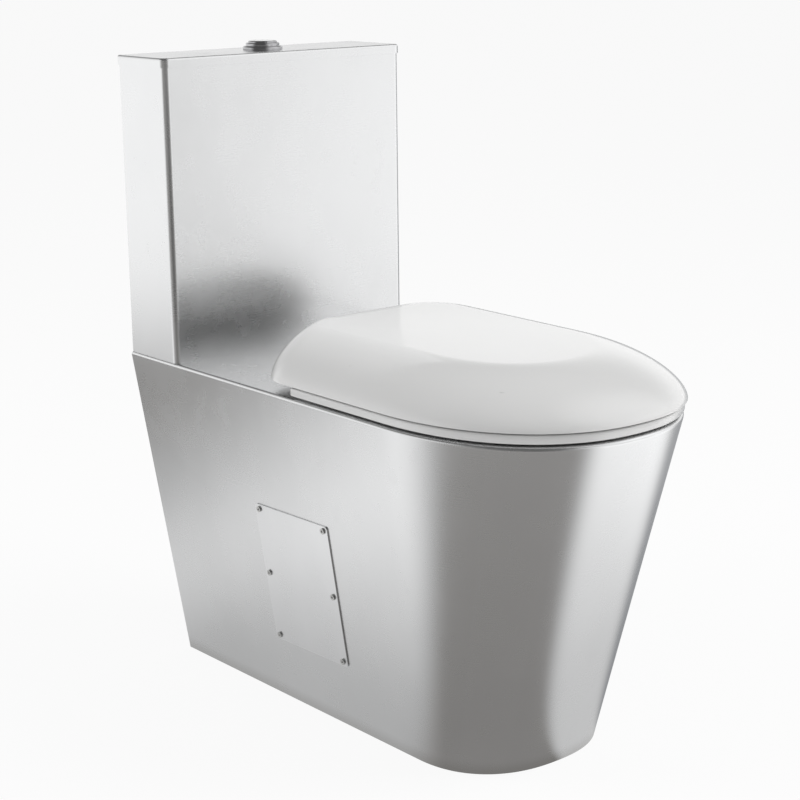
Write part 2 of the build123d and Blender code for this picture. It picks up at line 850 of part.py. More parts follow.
# Lid: a dome of stacked outlines whose height follows a rounded profile, hollow underneath
def lid_dome(skin):
    angles = (0, 12, 24, 36, 50, 68, 90)
    wires = []
    for angle in angles:
        turn = math.radians(angle)
        inset = 1 - abs(math.cos(turn)) ** (2 / lid_power) if angle < 90 else 1.0
        rise = math.sin(turn) ** (2 / lid_power)
        back_half = pan_half_at(0) + lid_overhang - skin - lid_top_inset_rear_side * inset
        wires.append(
            seat_wire(
                back_half,
                top_side_half + lid_overhang - skin - lid_top_inset_side * inset,
                lid_rear_y - skin - lid_top_inset_rear * inset,
                wall_y - top_side_end,
                wall_y - projection - lid_overhang + skin + lid_top_inset_front * inset,
                top_power,
                (lid_corner - skin) * back_half / pan_half_at(0),
                lid_edge_z + (lid_rise - skin) * rise,
            )
        )
    return Solid.make_loft(wires)


buffer_posts = [(side * x, y) for side in (-1, 1) for x, y in ((150.0, -60.0), (112.0, -270.0))]
buffer_height = 2.0


def make_seat_lid():
    shell = lid_dome(0) - lid_dome(lid_wall)
    roof = lid_edge_z + lid_rise
    x0, x1 = lid_knuckle
    outline = [
        (hinge_y - knuckle_flank, hinge_z),
        (hinge_y + knuckle_flank, hinge_z),
        (hinge_y + 12, roof - 2),
        (hinge_y - 14, roof - 2),
    ]
    arm = hinge_arm(x0, x1, outline)
    lid = shell + arm + mirrored(arm)
    under_skin = lid_dome(1.0)
    for x, y in buffer_posts:
        lid += bar_up(x, y, ring_top + buffer_height, roof, 7.0) & under_skin
    for side in (-1, 1):
        x = side * hinge_x
        x0, x1 = x - lid_slot_half, x + lid_slot_half
        lid -= block(x0, x1, hinge_y + 5, lid_rear_y + 5, lid_edge_z - 5, lid_slot_top)
    return bore_knuckles(lid, lid_knuckle)


# Hinges: posts bolted through the deck, each with a pin that both pairs of knuckles turn on
post_half = 6.0
post_reach = 9.0
post_foot = 3.0
post_foot_half = lid_slot_half - 0.7
post_foot_reach = 8.0
pin_reach = 28.0
hinge_washer = 3.0
hinge_nut_low = deck_under - 12.0


def make_hinges():
    posts, pins, bolts, washers, nuts, seat_bushes, lid_bushes = [], [], [], [], [], [], []
    for side in (-1, 1):
        x = side * hinge_x
        front, back = hinge_y - post_foot_reach, hinge_y + post_foot_reach
        foot_top = rim_height + post_foot
        x0, x1 = x - post_half, x + post_half
        post = block(x - post_foot_half, x + post_foot_half, front, back, rim_height, foot_top)
        for y in (front, back):
            post += bar_up(x, y, rim_height, foot_top, post_foot_half)
        post += block(x0, x1, hinge_y - post_reach, hinge_y + post_reach, rim_height, hinge_z)
        post += bar_right(x0, x1, hinge_y, hinge_z, post_reach)
        post -= bar_right(x0 - 2, x1 + 2, hinge_y, hinge_z, pin_radius)
        post -= bar_up(x, hinge_y, rim_height - 1, rim_height + 18, bolt_radius + thread_gap)
        posts.append(post)
        pins.append(bar_right(x - pin_reach, x + pin_reach, hinge_y, hinge_z, pin_radius))
        bolts.append(bar_up(x, hinge_y, hinge_nut_low - 20, rim_height + 17, bolt_radius))
        washer_low = deck_under - hinge_washer
        washers.append(tube_up(x, hinge_y, washer_low, deck_under, 13.0, bolt_radius + 0.3))
        nuts.append(wing_nut(x, hinge_y, hinge_nut_low, washer_low, bolt_radius))
        for bushes, (x0, x1) in ((seat_bushes, seat_knuckle), (lid_bushes, lid_knuckle)):
            low, high = (x0, x1) if side > 0 else (-x1, -x0)
            bush = bar_right(low, high, hinge_y, hinge_z, bush_radius)
            bush -= bar_right(low - 1, high + 1, hinge_y, hinge_z, pin_radius + running_gap)
            bushes.append(bush)
    return posts, pins, bolts, washers, nuts, seat_bushes, lid_bushes


def make_buffers():
    under_ring = [(side * x, y) for side in (-1, 1) for x, y in ((150.0, -30.0), (128.0, -262.0))]
    ring_pads = [bar_up(x, y, rim_height, ring_bottom, 9.0) for x, y in under_ring]
    lid_pads = [bar_up(x, y, ring_top, ring_top + buffer_height, 6.0) for x, y in buffer_posts]
    return ring_pads, lid_pads


save(make_pan_shell(), "pan_shell")
save(make_pan_deck(), "pan_deck")
save(make_flushing_rim(), "flushing_rim")
save(make_bowl(), "bowl")
save(make_flush_duct(), "flush_duct")
save(make_trap(), "trap")
save(make_outlet_spigot(), "outlet_spigot")
save(make_base_flange(), "base_flange")

plate, frame, screws = make_panel_parts()
save(plate, "access_panel_left")
save(mirrored(plate), "access_panel_right")
save(frame, "panel_frame_left")
save(mirrored(frame), "panel_frame_right")
save(group(screws), "panel_screws_left")
save(group([mirrored(screw) for screw in screws]), "panel_screws_right")

save(make_cistern_body(), "cistern_body")
save(make_cistern_lid(), "cistern_lid")
coupling_names = ("cistern_bolts", "cistern_bolt_washers", "cistern_bolt_plates", "cistern_wing_nuts")
for name, pieces in zip(coupling_names, make_coupling()):
    save(group(pieces), name)

valve_names = (
    "flush_valve_base",
    "flush_valve_washer",
    "flush_valve_backnut",
    "coupling_gasket",
    "flush_valve_tower",
    "flush_valve_core",
    "flush_valve_seal",
)
for name, piece in zip(valve_names, make_flush_valve()):
    save(piece, name)

inlet_names = (
    "inlet_valve_body",
    "inlet_valve_washer",
    "inlet_valve_backnut",
    "inlet_valve_head",
    "inlet_valve_cap",
    "float_pin",
    "float_arm",
    "float_cup",
)
for name, piece in zip(inlet_names, make_inlet_valve()):
    save(piece, name)

housing, nut, full, half, rods, springs = make_buttons()
save(housing, "button_housing")
save(nut, "button_locknut")
save(full, "full_flush_button")
save(half, "half_flush_button")
save(rods[0], "full_flush_rod")
save(rods[1], "half_flush_rod")
save(springs[0], "full_flush_spring")
save(springs[1], "half_flush_spring")

save(make_seat_ring(), "seat_ring")
save(make_seat_lid(), "seat_lid")
hinge_names = (
    "hinge_posts",
    "hinge_pins",
    "hinge_bolts",
    "hinge_bolt_washers",
    "hinge_wing_nuts",
    "seat_bushes",
    "lid_bushes",
)
for name, pieces in zip(hinge_names, make_hinges()):
    save(group(pieces), name)
ring_pads, lid_pads = make_buffers()
save(group(ring_pads), "seat_buffers")
save(group(lid_pads), "lid_buffers")
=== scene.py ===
import json
import math

import bmesh
import bpy
import numpy as np
from mathutils import Matrix, Vector

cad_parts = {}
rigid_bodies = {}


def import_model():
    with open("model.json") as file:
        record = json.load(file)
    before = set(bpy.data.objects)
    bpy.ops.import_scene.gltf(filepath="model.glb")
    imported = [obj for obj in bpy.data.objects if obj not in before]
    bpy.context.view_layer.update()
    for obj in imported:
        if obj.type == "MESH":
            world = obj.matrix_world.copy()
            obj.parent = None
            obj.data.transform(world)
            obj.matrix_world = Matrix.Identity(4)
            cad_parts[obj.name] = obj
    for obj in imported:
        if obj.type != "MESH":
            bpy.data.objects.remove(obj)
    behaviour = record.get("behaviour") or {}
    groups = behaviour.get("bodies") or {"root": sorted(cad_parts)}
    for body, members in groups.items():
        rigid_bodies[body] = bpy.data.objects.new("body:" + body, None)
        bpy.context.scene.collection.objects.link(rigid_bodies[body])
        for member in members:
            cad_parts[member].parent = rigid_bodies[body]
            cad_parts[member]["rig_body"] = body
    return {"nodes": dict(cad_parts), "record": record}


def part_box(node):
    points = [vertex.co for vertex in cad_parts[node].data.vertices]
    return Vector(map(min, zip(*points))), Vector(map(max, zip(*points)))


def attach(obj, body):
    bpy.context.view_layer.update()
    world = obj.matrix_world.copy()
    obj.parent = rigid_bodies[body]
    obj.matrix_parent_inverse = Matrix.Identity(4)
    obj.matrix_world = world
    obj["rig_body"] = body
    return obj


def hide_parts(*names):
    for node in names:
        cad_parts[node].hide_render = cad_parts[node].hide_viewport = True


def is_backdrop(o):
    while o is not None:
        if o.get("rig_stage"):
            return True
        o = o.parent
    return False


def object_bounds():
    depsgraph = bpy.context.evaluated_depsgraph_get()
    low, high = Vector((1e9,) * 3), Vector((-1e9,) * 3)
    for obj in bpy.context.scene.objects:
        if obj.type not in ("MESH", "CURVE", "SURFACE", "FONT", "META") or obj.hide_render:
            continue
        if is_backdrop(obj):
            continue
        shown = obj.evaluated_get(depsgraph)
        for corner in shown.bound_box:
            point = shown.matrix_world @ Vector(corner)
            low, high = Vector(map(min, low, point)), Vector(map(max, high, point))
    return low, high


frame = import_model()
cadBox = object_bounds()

scene = bpy.context.scene
scene.view_settings.view_transform = "Standard"
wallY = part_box("cistern_lid")[1].y  # the wall's plane, from which the depths below are counted
print("frame loaded")


# Shader sums

class Wire:
    # A socket that takes part in sums: a + b, 1 - a and the like add Math nodes
    def __init__(self, tree, socket=None):
        self.tree = tree
        self.socket = socket

    # Any node: its type, its settings, its inputs by name or number, and which output is wanted
    def make(self, kind, settings=None, inputs=None, output=0):
        node = self.tree.nodes.new(kind)
        for key, value in (settings or {}).items():
            setattr(node, key, value)
        for key, value in (inputs or {}).items():
            socket = node.inputs[key]
            if isinstance(value, Wire):
                self.tree.links.new(value.socket, socket)
            else:
                socket.default_value = value
        return Wire(self.tree, node.outputs[output]) if len(node.outputs) else node

    def math(self, operation, first, second=None):
        inputs = {0: first} if second is None else {0: first, 1: second}
        return self.make("ShaderNodeMath", {"operation": operation}, inputs)

    def __add__(self, other):
        return self.math("ADD", self, other)

    def __radd__(self, other):
        return self.math("ADD", other, self)

    def __sub__(self, other):
        return self.math("SUBTRACT", self, other)

    def __rsub__(self, other):
        return self.math("SUBTRACT", other, self)

    def __mul__(self, other):
        return self.math("MULTIPLY", self, other)

    def __rmul__(self, other):
        return self.math("MULTIPLY", other, self)

    # 0 below low, 1 above high, and an S curve between
    def rise(self, low, high):
        inputs = {"Value": self, "From Min": low, "From Max": high}
        return self.make("ShaderNodeMapRange", {"interpolation_type": "SMOOTHSTEP"}, inputs)


# First colour at 0, second at 1
def mixColours(wire, factor, first, second):
    settings = {"data_type": "RGBA", "clamp_factor": True}
    return wire.make("ShaderNodeMix", settings, {0: factor, 6: first, 7: second}, 2)


# Noise on the object's own coordinates, stretched by a scale for each axis
def stretchedNoise(wire, scales, detail=3.0, roughness=0.5):
    place = wire.make("ShaderNodeTexCoord", output="Object")
    stretched = wire.make("ShaderNodeMapping", inputs={"Vector": place, "Scale": scales})
    inputs = {"Vector": stretched, "Scale": 1.0, "Detail": detail, "Roughness": roughness}
    return wire.make("ShaderNodeTexNoise", inputs=inputs)


# One coordinate of the shaded point
def heightOf(wire, axis="Z"):
    place = wire.make("ShaderNodeTexCoord", output="Object")
    return wire.make("ShaderNodeSeparateXYZ", inputs={0: place}, output=axis)


def newMaterial(name):
    material = bpy.data.materials.new(name)
    material.use_nodes = True
    material.node_tree.nodes.clear()
    return material, Wire(material.node_tree)


def finishMaterial(wire, sockets):
    shader = wire.make("ShaderNodeBsdfPrincipled", inputs=sockets)
    wire.make("ShaderNodeOutputMaterial", inputs={"Surface": shader})


# Brushed sheet: fine lines along one direction, a slow mottle from handling, and painted shade along
# the foot where it meets the floor
steelLooks = {
    "wall": {"lines": (10.0, 10.0, 1500.0), "colour": (0.742, 0.746, 0.75), "rough": 0.27},
    "top": {"lines": (10.0, 1500.0, 10.0), "colour": (0.742, 0.746, 0.75), "rough": 0.26},
    "inner": {"lines": (40.0, 40.0, 300.0), "colour": (0.52, 0.52, 0.51), "rough": 0.42},
    "bowl": {"lines": (300.0, 300.0, 900.0), "colour": (0.64, 0.64, 0.63), "rough": 0.22},
    "panel": {"lines": (10.0, 10.0, 1500.0), "colour": (0.79, 0.794, 0.80), "rough": 0.29},
    "fastener": {"lines": (700.0, 700.0, 700.0), "colour": (0.55, 0.55, 0.54), "rough": 0.30},
    "spring": {"lines": (900.0, 900.0, 900.0), "colour": (0.42, 0.42, 0.42), "rough": 0.35},
}


# Base colour runs from a darker to a lighter steel by 0.25 of the lines plus 1.5 of the mottle
def steelMaterial(name):
    look = steelLooks[name]
    material, wire = newMaterial("steel_" + name)
    lines = stretchedNoise(wire, look["lines"], 4.0, 0.6)
    mottle = stretchedNoise(wire, (7.0, 7.0, 5.0), 4.0, 0.6)
    smudge = stretchedNoise(wire, (31.0, 31.0, 26.0), 5.0, 0.6).rise(0.52, 0.75)
    dark = tuple(part * 0.94 for part in look["colour"]) + (1.0,)
    light = tuple(min(1.0, part * 1.04) for part in look["colour"]) + (1.0,)
    shade = (lines - 0.5) * 0.25 + (mottle - 0.5) * 1.5 + 0.5
    colour = mixColours(wire, shade, dark, light)
    # Painted contact shade: the lowest 2 cm of the sheet is mixed 0.35 of the way towards a dark warm
    # grey
    foot = 1 - heightOf(wire).rise(0.0, 0.02)
    footShadedColour = mixColours(wire, foot * 0.35, colour, (0.40, 0.39, 0.37, 1.0))
    rough = (lines - 0.5) * 0.03 + (mottle - 0.5) * 0.12 + smudge * 0.03 + look["rough"]
    bump = wire.make(
        "ShaderNodeBump", inputs={"Strength": 0.012, "Distance": 0.0002, "Height": lines}
    )
    finishMaterial(
        wire, {"Base Color": footShadedColour, "Metallic": 1.0, "Roughness": rough, "Normal": bump}
    )
    return material


# Glossy moulded plastic: nearly even, with a faint cloudiness and a very fine skin
plasticLooks = {
    "seat": {"colour": (0.86, 0.86, 0.855), "rough": 0.16, "coat": 0.5, "grain": 0.02},
    "white": {"colour": (0.78, 0.78, 0.76), "rough": 0.42, "coat": 0.0, "grain": 0.08},
    "blue": {"colour": (0.10, 0.24, 0.46), "rough": 0.40, "coat": 0.0, "grain": 0.08},
    "rubber": {"colour": (0.035, 0.035, 0.036), "rough": 0.62, "coat": 0.0, "grain": 0.15},
    "buffer": {"colour": (0.72, 0.72, 0.70), "rough": 0.55, "coat": 0.0, "grain": 0.12},
}


# Base colour follows the clouds, roughness the clouds and the dull patches
def plasticMaterial(name):
    look = plasticLooks[name]
    material, wire = newMaterial("plastic_" + name)
    cloud = stretchedNoise(wire, (6.0, 6.0, 6.0), 2.0)
    grain = stretchedNoise(wire, (2200.0, 2200.0, 2200.0), 2.0)
    dull = stretchedNoise(wire, (22.0, 22.0, 22.0), 4.0).rise(0.50, 0.78)
    dark = tuple(part * 0.965 for part in look["colour"]) + (1.0,)
    light = tuple(min(1.0, part * 1.02) for part in look["colour"]) + (1.0,)
    colour = mixColours(wire, cloud, dark, light)
    rough = (cloud - 0.5) * 0.04 + dull * 0.03 + look["rough"]
    bump = wire.make(
        "ShaderNodeBump", inputs={"Strength": look["grain"], "Distance": 0.0002, "Height": grain}
    )
    sockets = {"Base Color": colour, "Roughness": rough, "Normal": bump}
    sockets["Coat Weight"] = look["coat"]
    sockets["Coat Roughness"] = 0.05
    finishMaterial(wire, sockets)
    return material


# Polished plate on the button, with faint finger marks
def chromeMaterial():
    material, wire = newMaterial("chrome_button")
    marks = stretchedNoise(wire, (120.0, 120.0, 120.0), 4.0).rise(0.48, 0.72)
    tone = stretchedNoise(wire, (60.0, 60.0, 60.0), 2.0)
    colour = mixColours(wire, tone, (0.36, 0.36, 0.37, 1.0), (0.48, 0.48, 0.49, 1.0))
    finishMaterial(
        wire, {"Base Color": colour, "Metallic": 1.0, "Roughness": marks * 0.12 + 0.07}
    )
    return material


materials = {name: steelMaterial(name) for name in steelLooks}
materials.update({name: plasticMaterial(name) for name in plasticLooks})
materials["chrome"] = chromeMaterial()
print("materials made")


# Meshes from arrays of points

# Joins rows of points, each a closed loop, into one skin. closed joins the last row to the first.
def skinFromRows(rows, closed):
    rows = np.asarray(rows, float)
    count, around = rows.shape[:2]
    row = np.arange(count if closed else count - 1)[:, None]
    step = np.arange(around)[None, :]
    nextRow = (row + 1) % count
    nextStep = (step + 1) % around
    corners = (
        row * around + step,
        row * around + nextStep,
        nextRow * around + nextStep,
        nextRow * around + step,
    )
    faces = np.stack([np.broadcast_to(corner, (len(row), around)) for corner in corners], -1)
    return rows.reshape(-1, 3), faces.reshape(-1, 4)


# Several skins make one mesh. Points that meet are merged, and faces are turned outwards.
def meshFromSkins(name, skins):
    points, faces, base = [], [], 0
    for skinPoints, skinFaces in skins:
        points.append(skinPoints)
        faces.append(skinFaces + base)
        base += len(skinPoints)
    mesh = bpy.data.meshes.new(name)
    mesh.from_pydata(np.concatenate(points).tolist(), [], np.concatenate(faces).tolist())
    work = bmesh.new()
    work.from_mesh(mesh)
    bmesh.ops.remove_doubles(work, verts=work.verts, dist=1e-6)
    bmesh.ops.dissolve_degenerate(work, edges=work.edges, dist=1e-7)
    bmesh.ops.recalc_face_normals(work, faces=work.faces)
    work.to_mesh(mesh)
    work.free()
    return smoothed(mesh)


sharpAngle = 32  # degrees: an edge that turns by more stays sharp


def smoothed(mesh):
    mesh.polygons.foreach_set("use_smooth", [True] * len(mesh.polygons))
    mesh.set_sharp_from_angle(angle=math.radians(sharpAngle))
    mesh.update()
    return mesh


# Adds a piece that rides on a body and stands in for nodes of the frame
def addPiece(name, mesh, material, body, *nodes):
    piece = bpy.data.objects.new(name, mesh)
    scene.collection.objects.link(piece)
    mesh.materials.clear()
    mesh.materials.append(materials[material])
    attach(piece, body)
    if nodes:
        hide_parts(*nodes)
    return piece


slotOfNode = {entry["node"]: entry["material_slot"] for entry in frame["record"]["subparts"]}


# Cuts holes: the cutters are closed meshes, and none of them stays in the scene
def cutFrom(mesh, cutters):
    target = bpy.data.objects.new("target", mesh)
    scene.collection.objects.link(target)
    helpers = []
    for cutter in cutters:
        helper = bpy.data.objects.new("cutter", cutter)
        scene.collection.objects.link(helper)
        helpers.append(helper)
        modifier = target.modifiers.new("cut", "BOOLEAN")
        modifier.object = helper
        modifier.operation = "DIFFERENCE"
        modifier.solver = "EXACT"
    graph = bpy.context.evaluated_depsgraph_get()
    result = bpy.data.meshes.new_from_object(target.evaluated_get(graph))
    result.name = mesh.name
    for helper in helpers + [target]:
        bpy.data.objects.remove(helper)
    return smoothed(result)


# A prism between two heights of a closed outline, given as rows of (x, y)
def prism(outline, low, high, name="prism"):
    outline = np.asarray(outline, float)
    middle = outline.mean(0)
    levels = [(0.0, low), (1.0, low), (1.0, high), (0.0, high)]
    rows = [
        np.column_stack([middle + (outline - middle) * share, np.full(len(outline), height)])
        for share, height in levels
    ]
    return meshFromSkins(name, [skinFromRows(rows, False)])


def circle(x, y, radius, steps=48):
    turn = np.linspace(0, 2 * np.pi, steps, endpoint=False)
    return np.column_stack([x + radius * np.cos(turn), y + radius * np.sin(turn)])


# Turns a mesh made along Z so that it runs along another axis, and moves it
def placed(mesh, matrix):
    mesh.transform(matrix)
    mesh.update()
    return mesh


# A profile of (radius, height) pairs turned about an upright axis
def lathe(name, profile, x, y, steps=96, closed=False):
    profile = np.asarray(profile, float)
    turn = np.linspace(0, 2 * np.pi, steps, endpoint=False)
    rows = np.stack(
        [
            x + profile[:, :1] * np.cos(turn),
            y + profile[:, :1] * np.sin(turn),
            np.broadcast_to(profile[:, 1:], (len(profile), steps)),
        ],
        -1,
    )
    return meshFromSkins(name, [skinFromRows(rows, closed)])


# Outlines

# Superellipse |x|^p + |y|^p = 1 at a turn, as factors across and along
def superFactors(turn, power):
    across = np.sign(np.cos(turn)) * np.abs(np.cos(turn)) ** (2 / power)
    along = np.sign(np.sin(turn)) * np.abs(np.sin(turn)) ** (2 / power)
    return across, along


# Rounded front from the left side round the tip to the right, then the sides and the back
# with rounded corners of the given radius. Rows of (x, y).
def frontedOutline(backHalf, sideHalf, backY, sideY, tipY, power, corner=0.0, steps=120):
    across, along = superFactors(np.linspace(0, np.pi, steps + 1), power)
    front = np.column_stack([-sideHalf * across, sideY - (sideY - tipY) * along])
    share = np.linspace(0, 1, 13)[1:-1, None]
    right = np.array([sideHalf, sideY]) * (1 - share) + np.array([backHalf, backY - corner]) * share
    turn = np.linspace(0, np.pi / 2, 17 if corner else 1)[:, None]
    bend = np.array([backHalf - corner, backY - corner]) + corner * np.concatenate(
        [np.cos(turn), np.sin(turn)], 1
    )
    share = np.linspace(-1, 1, 15)[1:-1, None]
    back = np.concatenate([-share * (backHalf - corner), np.full_like(share, backY)], 1)
    mirrored = np.array([-1, 1])
    left = [bend[::-1] * mirrored, right[::-1] * mirrored]
    return np.concatenate([front, right, bend, back] + left)


# How far each point of a closed outline moves for one unit of inward offset
def inwardSteps(outline):
    before = outline - np.roll(outline, 1, 0)
    after = np.roll(outline, -1, 0) - outline
    before /= np.linalg.norm(before, axis=1)[:, None]
    after /= np.linalg.norm(after, axis=1)[:, None]
    both = before + after
    total = np.column_stack([-both[:, 1], both[:, 0]])
    return total / (1 + np.sum(before * after, 1))[:, None]


# Egg shaped closed curve: a superellipse with its own reach to the front and to the back
def eggOutline(half, frontY, backY, middleY, power, steps=144):
    across, along = superFactors(np.linspace(0, 2 * np.pi, steps, endpoint=False), power)
    reach = np.where(along > 0, backY - middleY, middleY - frontY)
    return np.column_stack([half * across, middleY + reach * along])


# The points of that curve which lie in the directions of other points, seen from its middle
def eggTowards(points, half, frontY, backY, middleY, power):
    away = points - np.array([0.0, middleY])
    away = away / np.linalg.norm(away, axis=1)[:, None]
    reach = np.where(away[:, 1] > 0, backY - middleY, middleY - frontY)
    size = (np.abs(away[:, 0] / half) ** power + np.abs(away[:, 1] / reach) ** power) ** (-1 / power)
    return np.array([0.0, middleY]) + away * size[:, None]


# An outline lifted to a height, or to a height for each point
def level(outline, height):
    return np.column_stack([outline, np.broadcast_to(height, len(outline))])


# Pan: an outline at the floor and one at the rim, with straight lines between them
pan = {
    "rimHalfBack": 0.1875,
    "rimHalfFront": 0.1838,
    "rimBack": 0.0,
    "rimStraight": 0.512,
    "rimReach": 0.740,
    "rimPower": 2.24,
    "footHalfBack": 0.130,
    "footHalfFront": 0.1232,
    "footBack": 0.024,
    "footStraight": 0.501,
    "footReach": 0.617,
    "footPower": 2.35,
    "sheet": 0.0015,
    "deckSheet": 0.002,
    "deckBend": 0.004,
    "windowLap": 0.004,
    "backMargin": 0.026,
    "backOpening": (0.012, 0.396),
    "rimChannel": 0.024,
    "holes": {  # across, distance from the wall, radius
        "flush": (0.0, 0.055, 0.031),
        "inlet": (-0.110, 0.055, 0.016),
        "leftBolt": (-0.075, 0.055, 0.0045),
        "leftHinge": (-0.0775, 0.292, 0.005),
        "rightBolt": (0.075, 0.055, 0.0045),
        "rightHinge": (0.0775, 0.292, 0.005),
    },
}
mouth = {"half": 0.122, "frontY": -0.323, "backY": 0.006, "middleY": -0.147, "power": 2.15}
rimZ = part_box("pan_deck")[1].z
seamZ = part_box("pan_deck")[0].z


# The pan's outline at its foot or at its rim, moved inwards by a skin
def panOutline(at, skin=0.0):
    return frontedOutline(
        pan[at + "HalfBack"] - skin,
        pan[at + "HalfFront"] - skin,
        wallY - pan[at + "Back"] - skin,
        wallY - pan[at + "Straight"],
        wallY - pan[at + "Reach"] + skin,
        pan[at + "Power"],
    )


# The pan's outline at a height, in a straight line from the foot's to the rim's
def panLevel(height, skin=0.0):
    share = height / rimZ
    return level(panOutline("foot", skin) * (1 - share) + panOutline("rim", skin) * share, height)


# The three axes and sizes of a flat plate, from the spread of its corners
def plateAxes(node):
    mesh = frame["nodes"][node].data
    points = np.array([vertex.co for vertex in mesh.vertices])
    middle = (points.min(0) + points.max(0)) / 2
    axes = np.linalg.svd(points - points.mean(0), full_matrices=False)[2]
    along = (points - middle) @ axes.T
    middle = middle + ((along.max(0) + along.min(0)) / 2) @ axes
    return middle, axes, np.ptp(along, axis=0)


# A window in the shell behind an access panel, smaller than the panel by a lap all round
def windowCutter(node):
    middle, axes, sizes = plateAxes(node)
    half = (sizes[:2] - 2 * pan["windowLap"]) / 2
    outline = np.array([(-1, -1), (1, -1), (1, 1), (-1, 1)]) * half
    matrix = Matrix([list(axis) for axis in axes]).transposed().to_4x4()
    matrix.translation = Vector(middle)
    return placed(prism(outline, -0.008, 0.008), matrix)


# The open back, which keeps the same margin from both sloping sides
def backCutter():
    low, high = pan["backOpening"]
    spread = (pan["rimHalfBack"] - pan["footHalfBack"]) / rimZ
    halves = [pan["footHalfBack"] + spread * height - pan["backMargin"] for height in (low, high)]
    outline = [(-halves[0], low), (halves[0], low), (halves[1], high), (-halves[1], high)]
    upright = Matrix.Rotation(math.radians(90), 4, "X")
    return placed(prism(outline, 0, 0.06), Matrix.Translation((0, wallY + 0.005, 0)) @ upright)


# Shell: outlines up the outside, then down the inside one sheet further in
def makePanShell():
    heights = np.linspace(0, seamZ, 25)
    outer = [panLevel(height) for height in heights]
    inner = [panLevel(height, pan["sheet"]) for height in heights[::-1]]
    mesh = meshFromSkins("pan_shell_sheet", [skinFromRows(outer + inner, True)])
    cutters = [windowCutter("access_panel_left"), windowCutter("access_panel_right"), backCutter()]
    return cutFrom(mesh, cutters)


# Deck: the wall leans out to a bend of one radius, then the sheet runs flat to the bowl's mouth
def makePanDeck():
    rim, foot = panOutline("rim"), panOutline("foot")
    inward = inwardSteps(rim)
    lean = -np.sum((rim - foot) * inward, 1) / np.sum(inward * inward, 1) / rimZ
    bend = pan["deckBend"]
    slant = np.sqrt(1 + lean**2)
    centre = bend * (lean + slant)
    rows = [panLevel(seamZ)]
    for share in np.linspace(0, 1, 9):
        turn = -np.arctan(lean) * (1 - share) + np.pi / 2 * share
        inset = centre - bend * np.cos(turn)
        rows.append(level(rim + inward * inset[:, None], rimZ - bend + bend * np.sin(turn)))
    edge = rim + inward * (centre + 0.0005)[:, None]
    hole = eggTowards(edge, **mouth)
    under = rimZ - pan["deckSheet"]
    rows.append(level(edge, rimZ))
    rows += [level(edge * (1 - share) + hole * share, rimZ) for share in (0.3, 0.7, 1.0)]
    inner = panOutline("rim", pan["deckSheet"])
    rows += [level(hole * (1 - share) + inner * share, under) for share in (0.0, 0.5, 1.0)]
    rows.append(panLevel(seamZ, pan["deckSheet"]))
    mesh = meshFromSkins("pan_deck_sheet", [skinFromRows(rows, True)])
    cutters = []
    for x, fromWall, radius in pan["holes"].values():
        cutters.append(prism(circle(x, wallY - fromWall, radius), under - 0.01, rimZ + 0.01))
    return cutFrom(mesh, cutters)


# Channel under the mouth's edge, an open box section carried round the egg
def makeFlushingRim():
    low, top = (corner.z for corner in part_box("flushing_rim"))
    wide, sheet = pan["rimChannel"], pan["sheet"]
    section = [
        (0, top),
        (0, low),
        (wide, low),
        (wide, top),
        (wide - sheet, top),
        (wide - sheet, low + sheet),
        (sheet, low + sheet),
        (sheet, top),
    ]
    rows = []
    for grow, height in section:
        outline = eggOutline(
            mouth["half"] + grow,
            mouth["frontY"] - grow,
            mouth["backY"] + grow,
            mouth["middleY"],
            mouth["power"],
        )
        rows.append(level(outline, height))
    return meshFromSkins("flushing_rim_channel", [skinFromRows(rows, True)])


# Bowl: height, half width, front, back, middle and power of its egg at six heights
bowl = {
    "eggs": [
        (0.385, 0.138, -0.339, 0.022, -0.147, 2.15),
        (0.345, 0.133, -0.331, 0.010, -0.147, 2.15),
        (0.295, 0.117, -0.304, -0.009, -0.142, 2.10),
        (0.240, 0.088, -0.254, -0.029, -0.131, 2.05),
        (0.195, 0.057, -0.178, -0.046, -0.109, 2.00),
        (0.160, 0.040, -0.135, -0.055, -0.095, 2.00),
    ],
    "rows": 40,
}


# Smooth values between the rows of a table, by cubics whose slopes are those of the neighbours
def smoothTable(table, steps):
    table = np.asarray(table, float)
    slopes = np.gradient(table, axis=0)
    place = np.linspace(0, len(table) - 1, steps)
    low = np.minimum(place.astype(int), len(table) - 2)
    share = (place - low)[:, None]
    first, last = table[low], table[low + 1]
    startSlope, endSlope = slopes[low], slopes[low + 1]
    return (
        first * (2 * share**3 - 3 * share**2 + 1)
        + startSlope * (share**3 - 2 * share**2 + share)
        + last * (3 * share**2 - 2 * share**3)
        + endSlope * (share**3 - share**2)
    )


# Bowl: the eggs of the table down the outside, then one sheet smaller up the inside
def makeBowl():
    table = smoothTable(bowl["eggs"], bowl["rows"])
    sheet = pan["sheet"]
    outer = [level(eggOutline(a, b, c, d, p), z) for z, a, b, c, d, p in table]
    inner = [
        level(eggOutline(a - sheet, b + sheet, c - sheet, d, p), z) for z, a, b, c, d, p in table
    ]
    return meshFromSkins("bowl_sheet", [skinFromRows(outer + inner[::-1], True)])


# Trap: a round tube along straight runs and quarter bends in the plane x = 0
trap = {
    "corners": [(-0.095, 0.160), (-0.095, 0.058), (0.075, 0.058), (0.075, 0.185), (0.2935, 0.185)],
    "bend": 0.060,
    "radius": 0.040,
}


